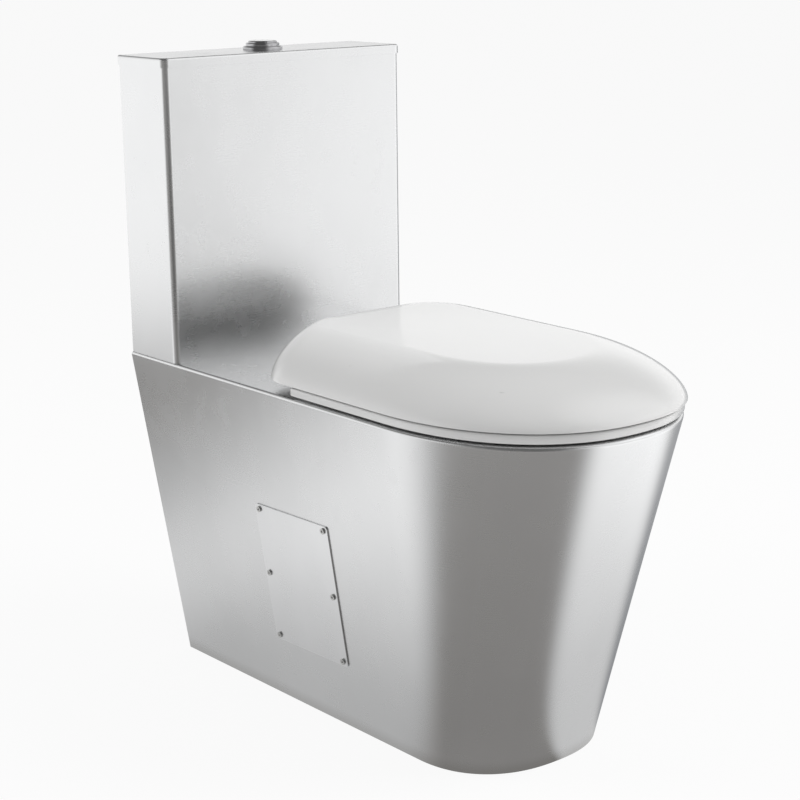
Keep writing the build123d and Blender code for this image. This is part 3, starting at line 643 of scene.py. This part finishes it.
# Points and directions of a path in a plane whose corners are rounded
def roundedPath(corners, bend, steps=14):
    corners = np.asarray(corners, float)
    points = [corners[0]]
    for before, corner, after in zip(corners, corners[1:], corners[2:]):
        arriving = (corner - before) / np.linalg.norm(corner - before)
        leaving = (after - corner) / np.linalg.norm(after - corner)
        half = 0.5 * math.acos(np.clip(arriving @ leaving, -1, 1))
        cut = bend * math.tan(half)
        towards = (leaving - arriving) / np.linalg.norm(leaving - arriving)
        centre = corner + towards * bend / math.cos(half)
        start = corner - arriving * cut - centre
        side = arriving * bend
        turn = np.linspace(0, 2 * half, steps)[:, None]
        points.extend(centre + start * np.cos(turn) + side * np.sin(turn))
    points.append(corners[-1])
    points = np.array(points)
    directions = np.gradient(points, axis=0)
    first, last = points[1] - points[0], points[-1] - points[-2]
    directions[0], directions[-1] = first, last
    return points, directions / np.linalg.norm(directions, axis=1)[:, None]


# Tube: a circle in the plane across the path at each of its points, outside and inside
def makeTrap():
    points, directions = roundedPath(trap["corners"], trap["bend"])
    turn = np.linspace(0, 2 * np.pi, 64, endpoint=False)
    normals = np.column_stack([-directions[:, 1], directions[:, 0]])

    def tube(radius):
        rows = []
        for point, normal in zip(points, normals):
            plane = point + np.outer(np.sin(turn) * radius, normal)
            rows.append(np.column_stack([np.cos(turn) * radius, plane]))
        return rows

    rows = tube(trap["radius"]) + tube(trap["radius"] - pan["sheet"])[::-1]
    return meshFromSkins("trap_tube", [skinFromRows(rows, True)])


# Outlet spigot: a stub of larger tube with a flat inner end, turned about the Y direction
def makeSpigot():
    low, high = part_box("outlet_spigot")
    radius = (high.x - low.x) / 2
    length = high.y - low.y
    inner = radius - pan["sheet"]
    neck = trap["radius"] - pan["sheet"]
    profile = [
        (neck, 0),
        (radius, 0),
        (radius, length),
        (inner, length),
        (inner, pan["sheet"]),
        (neck, pan["sheet"]),
    ]
    mesh = lathe("outlet_spigot_tube", profile, 0, 0, closed=True)
    turned = Matrix.Translation((0, low.y, (low.z + high.z) / 2)) @ Matrix.Rotation(
        math.radians(-90), 4, "X"
    )
    return placed(mesh, turned)


# Box outline with rounded corners, wider radii at the front. Rows of (x, y).
def boxOutline(half, front, back, frontCorner, backCorner, steps=12):
    turn = np.linspace(0, np.pi / 2, steps + 1)
    quarter = np.column_stack([np.cos(turn), np.sin(turn)])
    mirrored = np.array([-1, 1])
    rightBack = np.array([half - backCorner, back - backCorner]) + backCorner * quarter
    rightFront = np.array([half - frontCorner, front + frontCorner]) + frontCorner * (
        quarter[::-1] * np.array([1, -1])
    )
    ends = np.concatenate([rightFront, rightBack])
    lead = 0.0008  # points close to each bend keep the flat walls flat
    flats = [
        ends[:1] - np.array([lead, 0]),
        rightFront,
        rightFront[-1:] + np.array([0, lead]),
        rightBack[:1] - np.array([0, lead]),
        rightBack,
        ends[-1:] - np.array([lead, 0]),
    ]
    right = np.concatenate(flats)
    return np.concatenate([right, right[::-1] * mirrored])


# Cistern: the body's section, as (inset, height) pairs, goes down the outside, over the turned-in
# top edge and down the inside to the floor. The floor runs to the flush hole.
cistern = {
    "half": 0.187,
    "depth": 0.1082,
    "frontCorner": 0.008,
    "backCorner": 0.003,
    "backGap": 0.0018,
    "turnIn": 0.010,
    "floor": 0.447,
    "flushHole": 0.0285,
    "valveFromWall": 0.055,
    "floorHoles": [(-0.110, 0.012), (-0.075, 0.0043), (0.075, 0.0043)],
    "wallHoles": (0.110, 0.760, 0.0035),
    "capGap": 0.0003,
    "capBend": 0.0028,
    "buttonHole": 0.021,
}
valveY = wallY - cistern["valveFromWall"]


# The cistern's plan, moved inwards: its corners get tighter by as much
def cisternOutline(inset):
    return boxOutline(
        cistern["half"] - inset,
        wallY - cistern["depth"] + inset,
        wallY - cistern["backGap"] - inset,
        max(cistern["frontCorner"] - inset, 0.001),
        max(cistern["backCorner"] - inset, 0.001),
    )


# A circle with a point in the direction of each point of an outline, seen from its middle
def circleTowards(outline, x, y, radius):
    away = outline - np.array([x, y])
    return np.array([x, y]) + radius * away / np.linalg.norm(away, axis=1)[:, None]


# Body: up the outside, over the turned-in edge, down the inside, and across the floor
def makeCisternBody():
    low, high = (corner.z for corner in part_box("cistern_body"))
    sheet = pan["sheet"]
    floor = cistern["floor"]
    heights = np.linspace(low, high, 9)
    rows = [level(cisternOutline(0), height) for height in heights]
    section = [
        (cistern["turnIn"], high),
        (cistern["turnIn"], high - sheet),
        (sheet, high - sheet),
        (sheet, floor + sheet),
    ]
    rows += [level(cisternOutline(inset), height) for inset, height in section]
    inside = cisternOutline(sheet)
    hole = circleTowards(inside, 0, valveY, cistern["flushHole"])
    rows += [level(hole, floor + sheet), level(hole, floor)]
    rows += [level(inside, floor), level(inside, low)]
    mesh = meshFromSkins("cistern_body_sheet", [skinFromRows(rows, True)])
    cutters = []
    for x, radius in cistern["floorHoles"]:
        cutters.append(prism(circle(x, valveY, radius, 32), floor - 0.003, floor + 0.004))
    holeX, holeZ, radius = cistern["wallHoles"]
    upright = Matrix.Rotation(math.radians(90), 4, "X")
    for x in (-holeX, holeX):
        cutter = prism(circle(x, holeZ, radius, 32), -0.006, 0.006)
        cutters.append(placed(cutter, Matrix.Translation((0, wallY - 0.002, 0)) @ upright))
    return cutFrom(mesh, cutters)


# Cap: its skirt goes up to a bend, the top runs to the button's hole, and the inside goes back
def makeCisternLid():
    low, high = (corner.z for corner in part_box("cistern_lid"))
    sheet, bend = pan["sheet"], cistern["capBend"]
    grow = cistern["capGap"] + sheet

    def outline(inset):
        return boxOutline(
            cistern["half"] + grow - inset,
            wallY - cistern["depth"] - grow + inset,
            wallY - inset,
            cistern["frontCorner"] + grow - inset,
            max(cistern["backCorner"] + sheet - inset, 0.0005),
        )

    turn = np.linspace(0, np.pi / 2, 9)
    lead = 0.0006  # rows close to the bend keep the flat sheet flat
    section = [(0.0, low), (0.0, high - bend - lead)]
    section += [(bend * (1 - math.cos(t)), high - bend + bend * math.sin(t)) for t in turn]
    section += [(bend + lead, high)]
    rows = [level(outline(inset), height) for inset, height in section]
    flat = outline(bend + lead)
    hole = circleTowards(flat, 0, valveY, cistern["buttonHole"])
    inner = outline(sheet)
    rows += [level(hole, high), level(hole, high - sheet)]
    rows += [level(inner, high - sheet), level(inner, low)]
    return meshFromSkins("cistern_lid_cap", [skinFromRows(rows, True)])


# Button: bezel, collar and a bore, then two segments of one disc
button = {
    "bezel": 0.026,
    "collar": 0.022,
    "bore": 0.0191,
    "body": 0.0205,
    "bezelHeight": 0.005,
    "bezelBend": 0.0025,
    "collarHeight": 0.009,
    "collarBend": 0.0015,
    "edgeBreak": 0.0003,
    "shelf": 0.002,
    "discBend": 0.0016,
    "dish": [(0.012, 0.0002), (0.006, 0.0005), (0.0, 0.0006)],
    "split": -0.006,
    "gap": 0.0003,
    "radius": 0.0188,
}


# Quarter bend of a profile that goes up and then inwards, as (radius, height) pairs
def topBend(radius, height, bend, steps=7):
    turn = np.linspace(0, np.pi / 2, steps)
    return list(zip(radius - bend + bend * np.cos(turn), height - bend + bend * np.sin(turn)))


# Housing: a stepped profile with two bends on top, turned about the button's axis
def makeButtonHousing():
    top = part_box("cistern_lid")[1].z
    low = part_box("button_housing")[0].z
    profile = [(0, low), (button["body"], low), (button["body"], top), (button["bezel"], top)]
    bezelTop, collarTop = top + button["bezelHeight"], top + button["collarHeight"]
    bore, ease, shelf = button["bore"], button["edgeBreak"], low + button["shelf"]
    profile += topBend(button["bezel"], bezelTop, button["bezelBend"])
    profile += [(button["collar"], bezelTop)]
    profile += topBend(button["collar"], collarTop, button["collarBend"])
    profile += [(bore + ease, collarTop), (bore, collarTop - ease), (bore, shelf), (0, shelf)]
    return lathe("button_bezel", profile, 0, valveY)


# Segments: a dished disc, cut twice by blocks that leave a narrow gap at the split
def makeButtonSegments():
    low, high = (corner.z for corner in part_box("full_flush_button"))
    profile = [(0, low), (button["radius"], low)]
    profile += topBend(button["radius"], high, button["discBend"])
    profile += [(radius, high - depth) for radius, depth in button["dish"]]
    for name, side in (("full_flush_segment", 1), ("half_flush_segment", -1)):
        disc = lathe(name, profile, 0, valveY)
        edge = button["split"] + side * button["gap"]
        far = -side * 0.05
        y0, y1 = valveY - 0.03, valveY + 0.03
        outline = [(edge, y0), (far, y0), (far, y1), (edge, y1)]
        yield cutFrom(disc, [prism(outline, low - 0.01, high + 0.01)])


# Seat ring: flat underneath, crowned on top, with a tongue at the back and an arm to each hinge
seat = {
    "straight": 0.512,
    "end": 0.349,
    "tongueEnd": 0.323,
    "tongueHalf": 0.112,
    "low": 0.428,
    "top": 0.440,
    "edge": 0.003,
    "corner": 0.004,
    "crown": 0.0012,
    "innerEdge": 0.005,
}
seatHole = {"half": 0.106, "frontY": -0.312, "backY": -0.052, "middleY": -0.147, "power": 2.15}
hinge = {
    "x": 0.0775,
    "fromWall": 0.292,
    "height": 0.460,
    "knuckle": 0.011,
    "seatArm": (0.086, 0.104),
    "seatArmTop": (-0.014, 0.009),  # points as (y, z): from the hinge's pin
    "seatArmHeel": (-0.008, -0.004),  # y from the end of the tongue, z from the pin
    "seatArmToe": (0.007, -0.009),
    "seatArmFoot": (0.016, 0.004),  # reach along the tongue, depth below its top
    "lidArm": (0.051, 0.069),
    "lidArmRoof": [(0.012, 0.002), (-0.014, 0.002)],  # y from the pin, depth below the roof
}
hingeY = wallY - hinge["fromWall"]


# Half the rim's width at y: it changes evenly from the wall to where the straight sides end
def halfAt(y):
    narrowing = pan["rimHalfFront"] - pan["rimHalfBack"]
    return pan["rimHalfBack"] + narrowing * (wallY - y) / seat["straight"]


# A solid between two x planes with the outline given as (y, z) pairs
def sidePlate(outline, x0, x1):
    outline = np.asarray(outline, float)
    middle = outline.mean(0)
    rows = []
    for share, x in ((0.0, x0), (1.0, x0), (1.0, x1), (0.0, x1)):
        ring = middle + (outline - middle) * share
        rows.append(np.column_stack([np.full(len(ring), x), ring]))
    return skinFromRows(rows, False)


# An arm whose end is round about the hinge pin. The other points close it, in the same turning.
def hingeArm(points, startAngle, endAngle, x0, x1):
    turn = np.radians(np.linspace(startAngle, endAngle, 25))
    radius = hinge["knuckle"]
    end = np.column_stack([hingeY + radius * np.cos(turn), hinge["height"] + radius * np.sin(turn)])
    outline = np.concatenate([end, np.asarray(points, float)])
    inset = 0.0001
    return [sidePlate(outline, side * (x0 + inset), side * (x1 - inset)) for side in (-1, 1)]


# Ring: round the outer edge in a half circle, over the crowned top and down the rounded hole
def makeSeatRing():
    endY = wallY - seat["end"]
    tongueY = wallY - seat["tongueEnd"]
    low, top, edge = seat["low"], seat["top"], seat["edge"]
    outline = frontedOutline(
        halfAt(endY),
        pan["rimHalfFront"],
        endY,
        wallY - seat["straight"],
        wallY - pan["rimReach"],
        pan["rimPower"],
        seat["corner"],
    )
    inward = inwardSteps(outline)
    hole = eggTowards(outline + inward * 0.004, **seatHole)
    rows = []
    for t in np.linspace(-np.pi / 2, np.pi / 2, 15):
        height = np.where(t < 0, low + edge, top - seat["crown"] - edge) + edge * np.sin(t)
        rows.append(level(outline + inward * edge * (1 - np.cos(t)), height))
    start = outline + inward * edge
    inner = hole * 0.96 + start * 0.04
    for share in np.linspace(0, 1, 15)[1:]:
        crown = seat["crown"] * math.sin(math.pi * min(1.0, share / 0.9) * 0.5)
        rows.append(level(start * (1 - share) + inner * share, top - seat["crown"] + crown))
    bend = inner - hole
    for t in np.linspace(0, np.pi / 2, 8)[1:]:
        height = top - seat["innerEdge"] * (1 - math.cos(t))
        rows.append(level(hole + bend * (1 - math.sin(t)), height))
    rows.append(level(hole, low))
    skins = [skinFromRows(rows, True)]
    flat = [(endY - 0.010, low), (tongueY - 0.002, low), (tongueY, low + 0.002)]
    flat += [(tongueY, top - 0.003), (tongueY - 0.003, top - 0.0005), (endY - 0.010, top - 0.0005)]
    skins.append(sidePlate(flat, -seat["tongueHalf"], seat["tongueHalf"]))
    z = hinge["height"]
    x0, x1 = hinge["seatArm"]
    heel, toe = ((tongueY + y, z + rise) for y, rise in (hinge["seatArmHeel"], hinge["seatArmToe"]))
    reach, sunk = hinge["seatArmFoot"]
    foot = [(tongueY - reach, top - sunk), (tongueY, top - sunk), toe, heel]
    for side in (-1, 1):
        skins.append(sidePlate(foot, side * (x0 + 0.0003), side * (x1 - 0.0003)))
    y, rise = hinge["seatArmTop"]
    skins += hingeArm([(hingeY + y, z + rise), heel, toe], -92, 92, x0, x1)
    return meshFromSkins("seat_ring_moulding", skins)


# Lid: stacked outlines whose height follows a rounded profile, then a slightly crowned top
lid = {
    "overhang": 0.003,
    "edge": 0.441,
    "rise": 0.0544,
    "power": 1.57,
    "rear": 0.264,
    "corner": 0.076,
    "wall": 0.004,
    "sideInset": 0.0884,
    "backSideInset": 0.088,
    "rearInset": 0.008,
    "frontInset": 0.111,
    "crown": 0.0012,
    "slot": 0.0085,
    "slotTop": 0.479,
    "posts": [(0.150, -0.060), (0.112, -0.270)],
    "postRadius": 0.007,
    "postGap": 0.002,
}


# One outline of the lid: going up as sin(turn)^(2/p) and inwards as 1 - cos(turn)^(2/p)
def lidRow(turn, skin):
    inset = 1 - abs(math.cos(turn)) ** (2 / lid["power"])
    rise = abs(math.sin(turn)) ** (2 / lid["power"])
    backHalf = halfAt(0) + lid["overhang"] - skin - lid["backSideInset"] * inset
    outline = frontedOutline(
        backHalf,
        pan["rimHalfFront"] + lid["overhang"] - skin - lid["sideInset"] * inset,
        wallY - lid["rear"] - skin - lid["rearInset"] * inset,
        wallY - seat["straight"],
        wallY - pan["rimReach"] - lid["overhang"] + skin + lid["frontInset"] * inset,
        pan["rimPower"],
        (lid["corner"] - skin) * backHalf / halfAt(0),
    )
    return level(outline, lid["edge"] + (lid["rise"] - lid["crown"] - skin) * rise)


# Rows from the edge up the dome and on to the middle of the top
def domeRows(skin):
    rows = [lidRow(turn, skin) for turn in np.linspace(0, np.pi / 2, 45)]
    last = rows[-1]
    middle = np.array([0.0, (last[:, 1].max() + last[:, 1].min()) / 2])
    for share in np.linspace(1, 0, 13)[1:]:
        flat = middle + (last[:, :2] - middle) * share
        rows.append(level(flat, last[0, 2] + lid["crown"] * (1 - share**2)))
    return rows


# Lid: the dome with its inner skin, less a slot over each hinge post, plus arms and four posts
def makeSeatLid():
    outer, inner = domeRows(0.0), domeRows(lid["wall"])
    skin = skinFromRows(outer[::-1] + inner, False)
    mesh = meshFromSkins("seat_lid_dome", [skin])
    slots = []
    for side in (-1, 1):
        x0, x1 = side * hinge["x"] - lid["slot"], side * hinge["x"] + lid["slot"]
        y0, y1 = hingeY + 0.005, wallY - lid["rear"] + 0.01
        outline = [(x0, y0), (x1, y0), (x1, y1), (x0, y1)]
        slots.append(prism(outline, lid["edge"] - 0.01, lid["slotTop"]))
    mesh = cutFrom(mesh, slots)
    roof = lid["edge"] + lid["rise"]
    points = [(hingeY + y, roof - sunk) for y, sunk in hinge["lidArmRoof"]]
    skins = hingeArm(points, 180, 360, *hinge["lidArm"])
    for x, y in lid["posts"]:
        for side in (-1, 1):
            ring = circle(side * x, y, lid["postRadius"], 32)
            middle = circle(side * x, y, 0.0, 32)
            foot, head = seat["top"] + lid["postGap"], lidHeight(side * x, y) - 0.002
            rows = [level(middle, foot), level(ring, foot), level(ring, head), level(middle, head)]
            skins.append(skinFromRows(rows, False))
    return joined(mesh, meshFromSkins("lid_fittings", skins))


# Height of the lid's outer surface over a point, found on a fine set of its rows
def lidHeight(x, y):
    points = np.concatenate(domeRows(0.0))
    near = np.argsort(np.hypot(points[:, 0] - x, points[:, 1] - y))[:4]
    return float(points[near, 2].min())


# Two meshes in one
def joined(first, second):
    work = bmesh.new()
    work.from_mesh(first)
    work.from_mesh(second)
    work.to_mesh(first)
    work.free()
    return smoothed(first)


root = "pan_and_cistern"
addPiece("pan_shell_sheet", makePanShell(), "wall", root, "pan_shell")
addPiece("pan_deck_sheet", makePanDeck(), "top", root, "pan_deck")
addPiece("flushing_rim_channel", makeFlushingRim(), "bowl", root, "flushing_rim")
addPiece("bowl_sheet", makeBowl(), "bowl", root, "bowl")
addPiece("trap_tube", makeTrap(), "inner", root, "trap")
addPiece("outlet_spigot_tube", makeSpigot(), "inner", root, "outlet_spigot")
print("pan made")
addPiece("cistern_body_sheet", makeCisternBody(), "wall", root, "cistern_body")
addPiece("cistern_lid_cap", makeCisternLid(), "top", "cistern_top", "cistern_lid")
addPiece("button_bezel", makeButtonHousing(), "chrome", "cistern_top", "button_housing")
fullSegment, halfSegment = makeButtonSegments()
addPiece("full_flush_segment", fullSegment, "chrome", "full_button", "full_flush_button")
addPiece("half_flush_segment", halfSegment, "chrome", "half_button", "half_flush_button")
print("cistern made")
addPiece("seat_ring_moulding", makeSeatRing(), "seat", "seat", "seat_ring")
addPiece("seat_lid_dome", makeSeatLid(), "seat", "lid", "seat_lid")
print("seat made")


# The other parts keep the shapes of the frame. Small round ones get a copy with smooth shading.
lookOfSlot = {
    "brushed_steel": "panel",
    "mill_steel": "inner",
    "seat_white": "seat",
    "button_chrome": "chrome",
    "fastener_steel": "fastener",
    "valve_plastic": "white",
    "valve_blue": "blue",
    "rubber": "rubber",
    "buffer_white": "buffer",
    "spring_steel": "spring",
}
keptAsMade = ("full_flush_spring", "half_flush_spring", "access_panel_left", "access_panel_right")


# A copy whose triangles are merged and smooth shaded
def smoothCopy(name, node):
    mesh = node.data.copy()
    work = bmesh.new()
    work.from_mesh(mesh)
    bmesh.ops.remove_doubles(work, verts=work.verts, dist=1e-6)
    bmesh.ops.recalc_face_normals(work, faces=work.faces)
    work.to_mesh(mesh)
    work.free()
    smoothed(mesh)
    addPiece(name + "_finished", mesh, lookOfSlot[slotOfNode[name]], node["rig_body"], name)


for name, node in frame["nodes"].items():
    if node.hide_render:
        continue
    if name in keptAsMade:
        for slot in node.material_slots:
            slot.material = materials[lookOfSlot[slotOfNode[name]]]
    else:
        smoothCopy(name, node)
print("small parts finished")


# Camera
cameraValues = {
    "target": (0.0, 0.04193, 0.38808),
    "azimuth": -39.37,
    "elevation": 14.30,
    "roll": -0.69,
    "distance": 2.33186,
    "lens": 83.68,
}


# A unit direction from azimuth and elevation in degrees
def directionOf(azimuth, elevation=0.0):
    a, e = math.radians(azimuth), math.radians(elevation)
    return (math.sin(a) * math.cos(e), -math.cos(a) * math.cos(e), math.sin(e))


# A camera on a sphere about the target, turned by azimuth, elevation and roll
def makeCamera():
    azimuth, roll = math.radians(cameraValues["azimuth"]), math.radians(cameraValues["roll"])
    data = bpy.data.cameras.new("camera")
    data.lens = cameraValues["lens"]
    data.sensor_width = 36.0
    data.clip_end = 100.0
    camera = bpy.data.objects.new("camera", data)
    scene.collection.objects.link(camera)
    back = Vector(directionOf(cameraValues["azimuth"], cameraValues["elevation"]))
    right = Vector((math.cos(azimuth), math.sin(azimuth), 0))
    up = back.cross(right)
    rightRolled = right * math.cos(roll) + up * math.sin(roll)
    upRolled = up * math.cos(roll) - right * math.sin(roll)
    matrix = Matrix((rightRolled, upRolled, back)).transposed().to_4x4()
    matrix.translation = Vector(cameraValues["target"]) + back * cameraValues["distance"]
    camera.matrix_world = matrix
    scene.camera = camera


makeCamera()


# Studio: an even pale light for what is not metal, and for metal a pale backdrop that is bright
# to the right of the camera and behind the object, and unlit behind the camera and overhead.
# Directions are azimuths in degrees: 0 is the front, 90 the right, -90 the left.
studio = {
    "fill": 0.42,
    "unlit": 0.15,
    "backdrop": 1.05,
    "backdropTop": (12, 40),
    "cameraSide": (-52, 25, 62),
    "keyCard": {"azimuth": 52, "elevation": 46, "inner": 14, "outer": 40, "strength": 0.9},
    "lamps": [
        {"place": (2.1, -1.9, 3.0), "size": 2.4, "power": 70.0},
        {"place": (-1.8, 1.6, 2.4), "size": 2.0, "power": 26.0},
    ],
}
# The floor as the metal sees it is a painted reflection; the streak and the patches are painted shade
# in it
floorLooks = {
    "albedo": 0.93,
    "shown": 0.91,
    "foot": (0.12, 0.25, 0.05),
    "unlit": 0.29,
    "right": {"azimuth": 44, "inner": 24, "outer": 49, "near": 0.42, "far": 0.55, "reach": 0.8},
    "back": {"azimuth": -160, "inner": 26, "outer": 60, "near": 0.27, "far": 0.58, "reach": 0.50},
    "shadeStreak": {"azimuth": 30, "inner": 3, "outer": 11, "from": 1.6, "to": 2.4, "depth": 0.40},
    "shadePatches": [
        {"place": (1.55, -1.62), "inner": 0.10, "outer": 0.60, "left": 0.35},
        {"place": (-2.30, -2.50), "inner": 1.30, "outer": 2.10, "left": 0.10},
        {"place": (-0.42, 1.12), "inner": 0.25, "outer": 0.78, "left": 0.48},
        {"place": (-0.85, 1.65), "inner": 0.40, "outer": 1.00, "left": 0.40},
    ],
    "warm": (1.0, 0.97, 0.94, 1.0),
    "cool": (0.95, 0.98, 1.03, 1.0),
}


# 1 within the inner angle of a direction, falling to 0 at the outer angle
def within(wire, heading, direction, inner, outer):
    settings = {"operation": "DOT_PRODUCT"}
    towards = wire.make("ShaderNodeVectorMath", settings, {0: heading, 1: direction}, "Value")
    return towards.rise(math.cos(math.radians(outer)), math.cos(math.radians(inner)))


# One step of vector sums
def vector(wire, operation, first, second=(0.0, 0.0, 0.0), output="Vector"):
    inputs = {0: first, 1: second}
    return wire.make("ShaderNodeVectorMath", {"operation": operation}, inputs, output)


def lightPath(wire, kind):
    return wire.make("ShaderNodeLightPath", output=kind)


# World: white for the camera, an even fill for matt surfaces, and the backdrop for glossy ones
def makeWorld():
    world = bpy.data.worlds.new("studio")
    scene.world = world
    world.use_nodes = True
    world.node_tree.nodes.clear()
    wire = Wire(world.node_tree)
    direction = wire.make("ShaderNodeTexCoord", output="Generated")
    height = wire.make("ShaderNodeSeparateXYZ", inputs={0: direction}, output="Z")
    heading = vector(wire, "NORMALIZE", vector(wire, "MULTIPLY", direction, (1.0, 1.0, 0.0)))
    low, high = (math.sin(math.radians(angle)) for angle in studio["backdropTop"])
    azimuth, inner, outer = studio["cameraSide"]
    cameraSide = within(wire, heading, directionOf(azimuth), inner, outer)
    backdrop = (1 - height.rise(low, high)) * (1 - cameraSide)
    key = studio["keyCard"]
    towards = directionOf(key["azimuth"], key["elevation"])
    card = within(wire, direction, towards, key["inner"], key["outer"]) * key["strength"]
    mirrored = backdrop * (studio["backdrop"] - studio["unlit"]) + studio["unlit"] + card
    glossy = lightPath(wire, "Is Glossy Ray")
    shown = lightPath(wire, "Is Camera Ray")
    strength = shown + (1 - shown) * (glossy * mirrored + (1 - glossy) * studio["fill"])
    white = (1.0, 1.0, 1.0, 1.0)
    background = wire.make("ShaderNodeBackground", inputs={"Color": white, "Strength": strength})
    wire.make("ShaderNodeOutputWorld", inputs={"Surface": background})


# Round soft lamps that face the middle of the object and don't show in the metal
def makeLamps():
    for number, lamp in enumerate(studio["lamps"]):
        data = bpy.data.lights.new("lamp", "AREA")
        data.shape = "DISK"
        data.size = lamp["size"]
        data.energy = lamp["power"]
        item = bpy.data.objects.new(f"lamp_{number}", data)
        place = Vector(lamp["place"])
        towards = (Vector((0, 0, 0.4)) - place).to_track_quat("-Z", "Y")
        item.matrix_world = Matrix.LocRotScale(place, towards, Vector((1, 1, 1)))
        item.visible_glossy = False
        scene.collection.objects.link(item)


# Floor: near white with the shadow kept. In the metal it shows a painted reflection, an emission
# that is bright towards the front right and the back left and grows brighter away from the
# object's foot, with painted shade in a streak and in patches, and elsewhere it is unlit.
def makeFloor():
    reach = 80.0
    corners = [(-reach, -reach), (reach, -reach), (reach, reach), (-reach, reach)]
    mesh = bpy.data.meshes.new("floor")
    mesh.from_pydata([(x, y, -0.0002) for x, y in corners], [], [(0, 1, 2, 3)])
    floor = bpy.data.objects.new("floor", mesh)
    scene.collection.objects.link(floor)
    floor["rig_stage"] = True
    material, wire = newMaterial("floor_pale")
    place = wire.make("ShaderNodeTexCoord", output="Object")
    halfX, halfY, middleY = floorLooks["foot"]
    flat = vector(wire, "MULTIPLY", place, (1.0, 1.0, 0.0))
    offset = vector(wire, "SUBTRACT", flat, (0.0, middleY, 0.0))
    past = vector(wire, "SUBTRACT", vector(wire, "ABSOLUTE", offset), (halfX, halfY, 0.0))
    away = vector(wire, "LENGTH", vector(wire, "MAXIMUM", past), output="Value")
    front = vector(wire, "SUBTRACT", flat, (0.0, middleY - halfY, 0.0))
    heading = vector(wire, "NORMALIZE", front)
    # Painted shade in the reflection: the emission is dimmest at the object's foot and brightens away
    # from it
    level = away.rise(0.0, 1.0) * 0.1 + floorLooks["unlit"]
    for name in ("right", "back"):
        look = floorLooks[name]
        sector = within(wire, heading, directionOf(look["azimuth"]), look["inner"], look["outer"])
        level = level + sector * (away.rise(0.0, look["reach"]) * look["far"] + look["near"])
    # Painted shade in the reflection: a dark streak towards the front right, far from the foot
    shadeStreak = floorLooks["shadeStreak"]
    dark = within(wire, heading, directionOf(shadeStreak["azimuth"]), shadeStreak["inner"], shadeStreak["outer"])
    level = level * (1 - dark * away.rise(shadeStreak["from"], shadeStreak["to"]) * shadeStreak["depth"])
    # Painted shade in the reflection: each patch dims the emission down to its left share at its
    # middle
    for patch in floorLooks["shadePatches"]:
        offset = vector(wire, "SUBTRACT", flat, patch["place"] + (0.0,))
        clear = vector(wire, "LENGTH", offset, output="Value").rise(patch["inner"], patch["outer"])
        level = level * (clear * (1 - patch["left"]) + patch["left"])
    toRight = within(wire, heading, directionOf(95), 25, 75)
    tint = mixColours(wire, toRight, floorLooks["warm"], floorLooks["cool"])
    neutral = mixColours(wire, level.rise(0.25, 0.6), tint, (1.0, 1.0, 1.0, 1.0))
    # Painted reflection: this emission, tinted warm to the left and cool to the right, is what glossy
    # rays see of the floor
    mirrored = wire.make("ShaderNodeEmission", inputs={"Color": neutral, "Strength": level})
    tone = stretchedNoise(wire, (1.5, 1.5, 1.5), 2.0)
    grey = floorLooks["albedo"]
    colour = mixColours(wire, tone, (grey * 0.99, grey * 0.99, grey * 0.99, 1), (grey, grey, grey, 1))
    plain = wire.make("ShaderNodeBsdfDiffuse", inputs={"Color": colour})
    white = wire.make("ShaderNodeEmission", inputs={"Color": (1, 1, 1, 1), "Strength": 1.0})
    camera = lightPath(wire, "Is Camera Ray") * floorLooks["shown"]
    pale = wire.make("ShaderNodeMixShader", inputs={0: camera, 1: plain, 2: white})
    glossy = lightPath(wire, "Is Glossy Ray")
    both = wire.make("ShaderNodeMixShader", inputs={0: glossy, 1: pale, 2: mirrored})
    wire.make("ShaderNodeOutputMaterial", inputs={"Surface": both})
    mesh.materials.append(material)


makeWorld()
makeLamps()
makeFloor()
print("studio made")

corners = [[list(map(float, corner)) for corner in box] for box in (cadBox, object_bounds())]
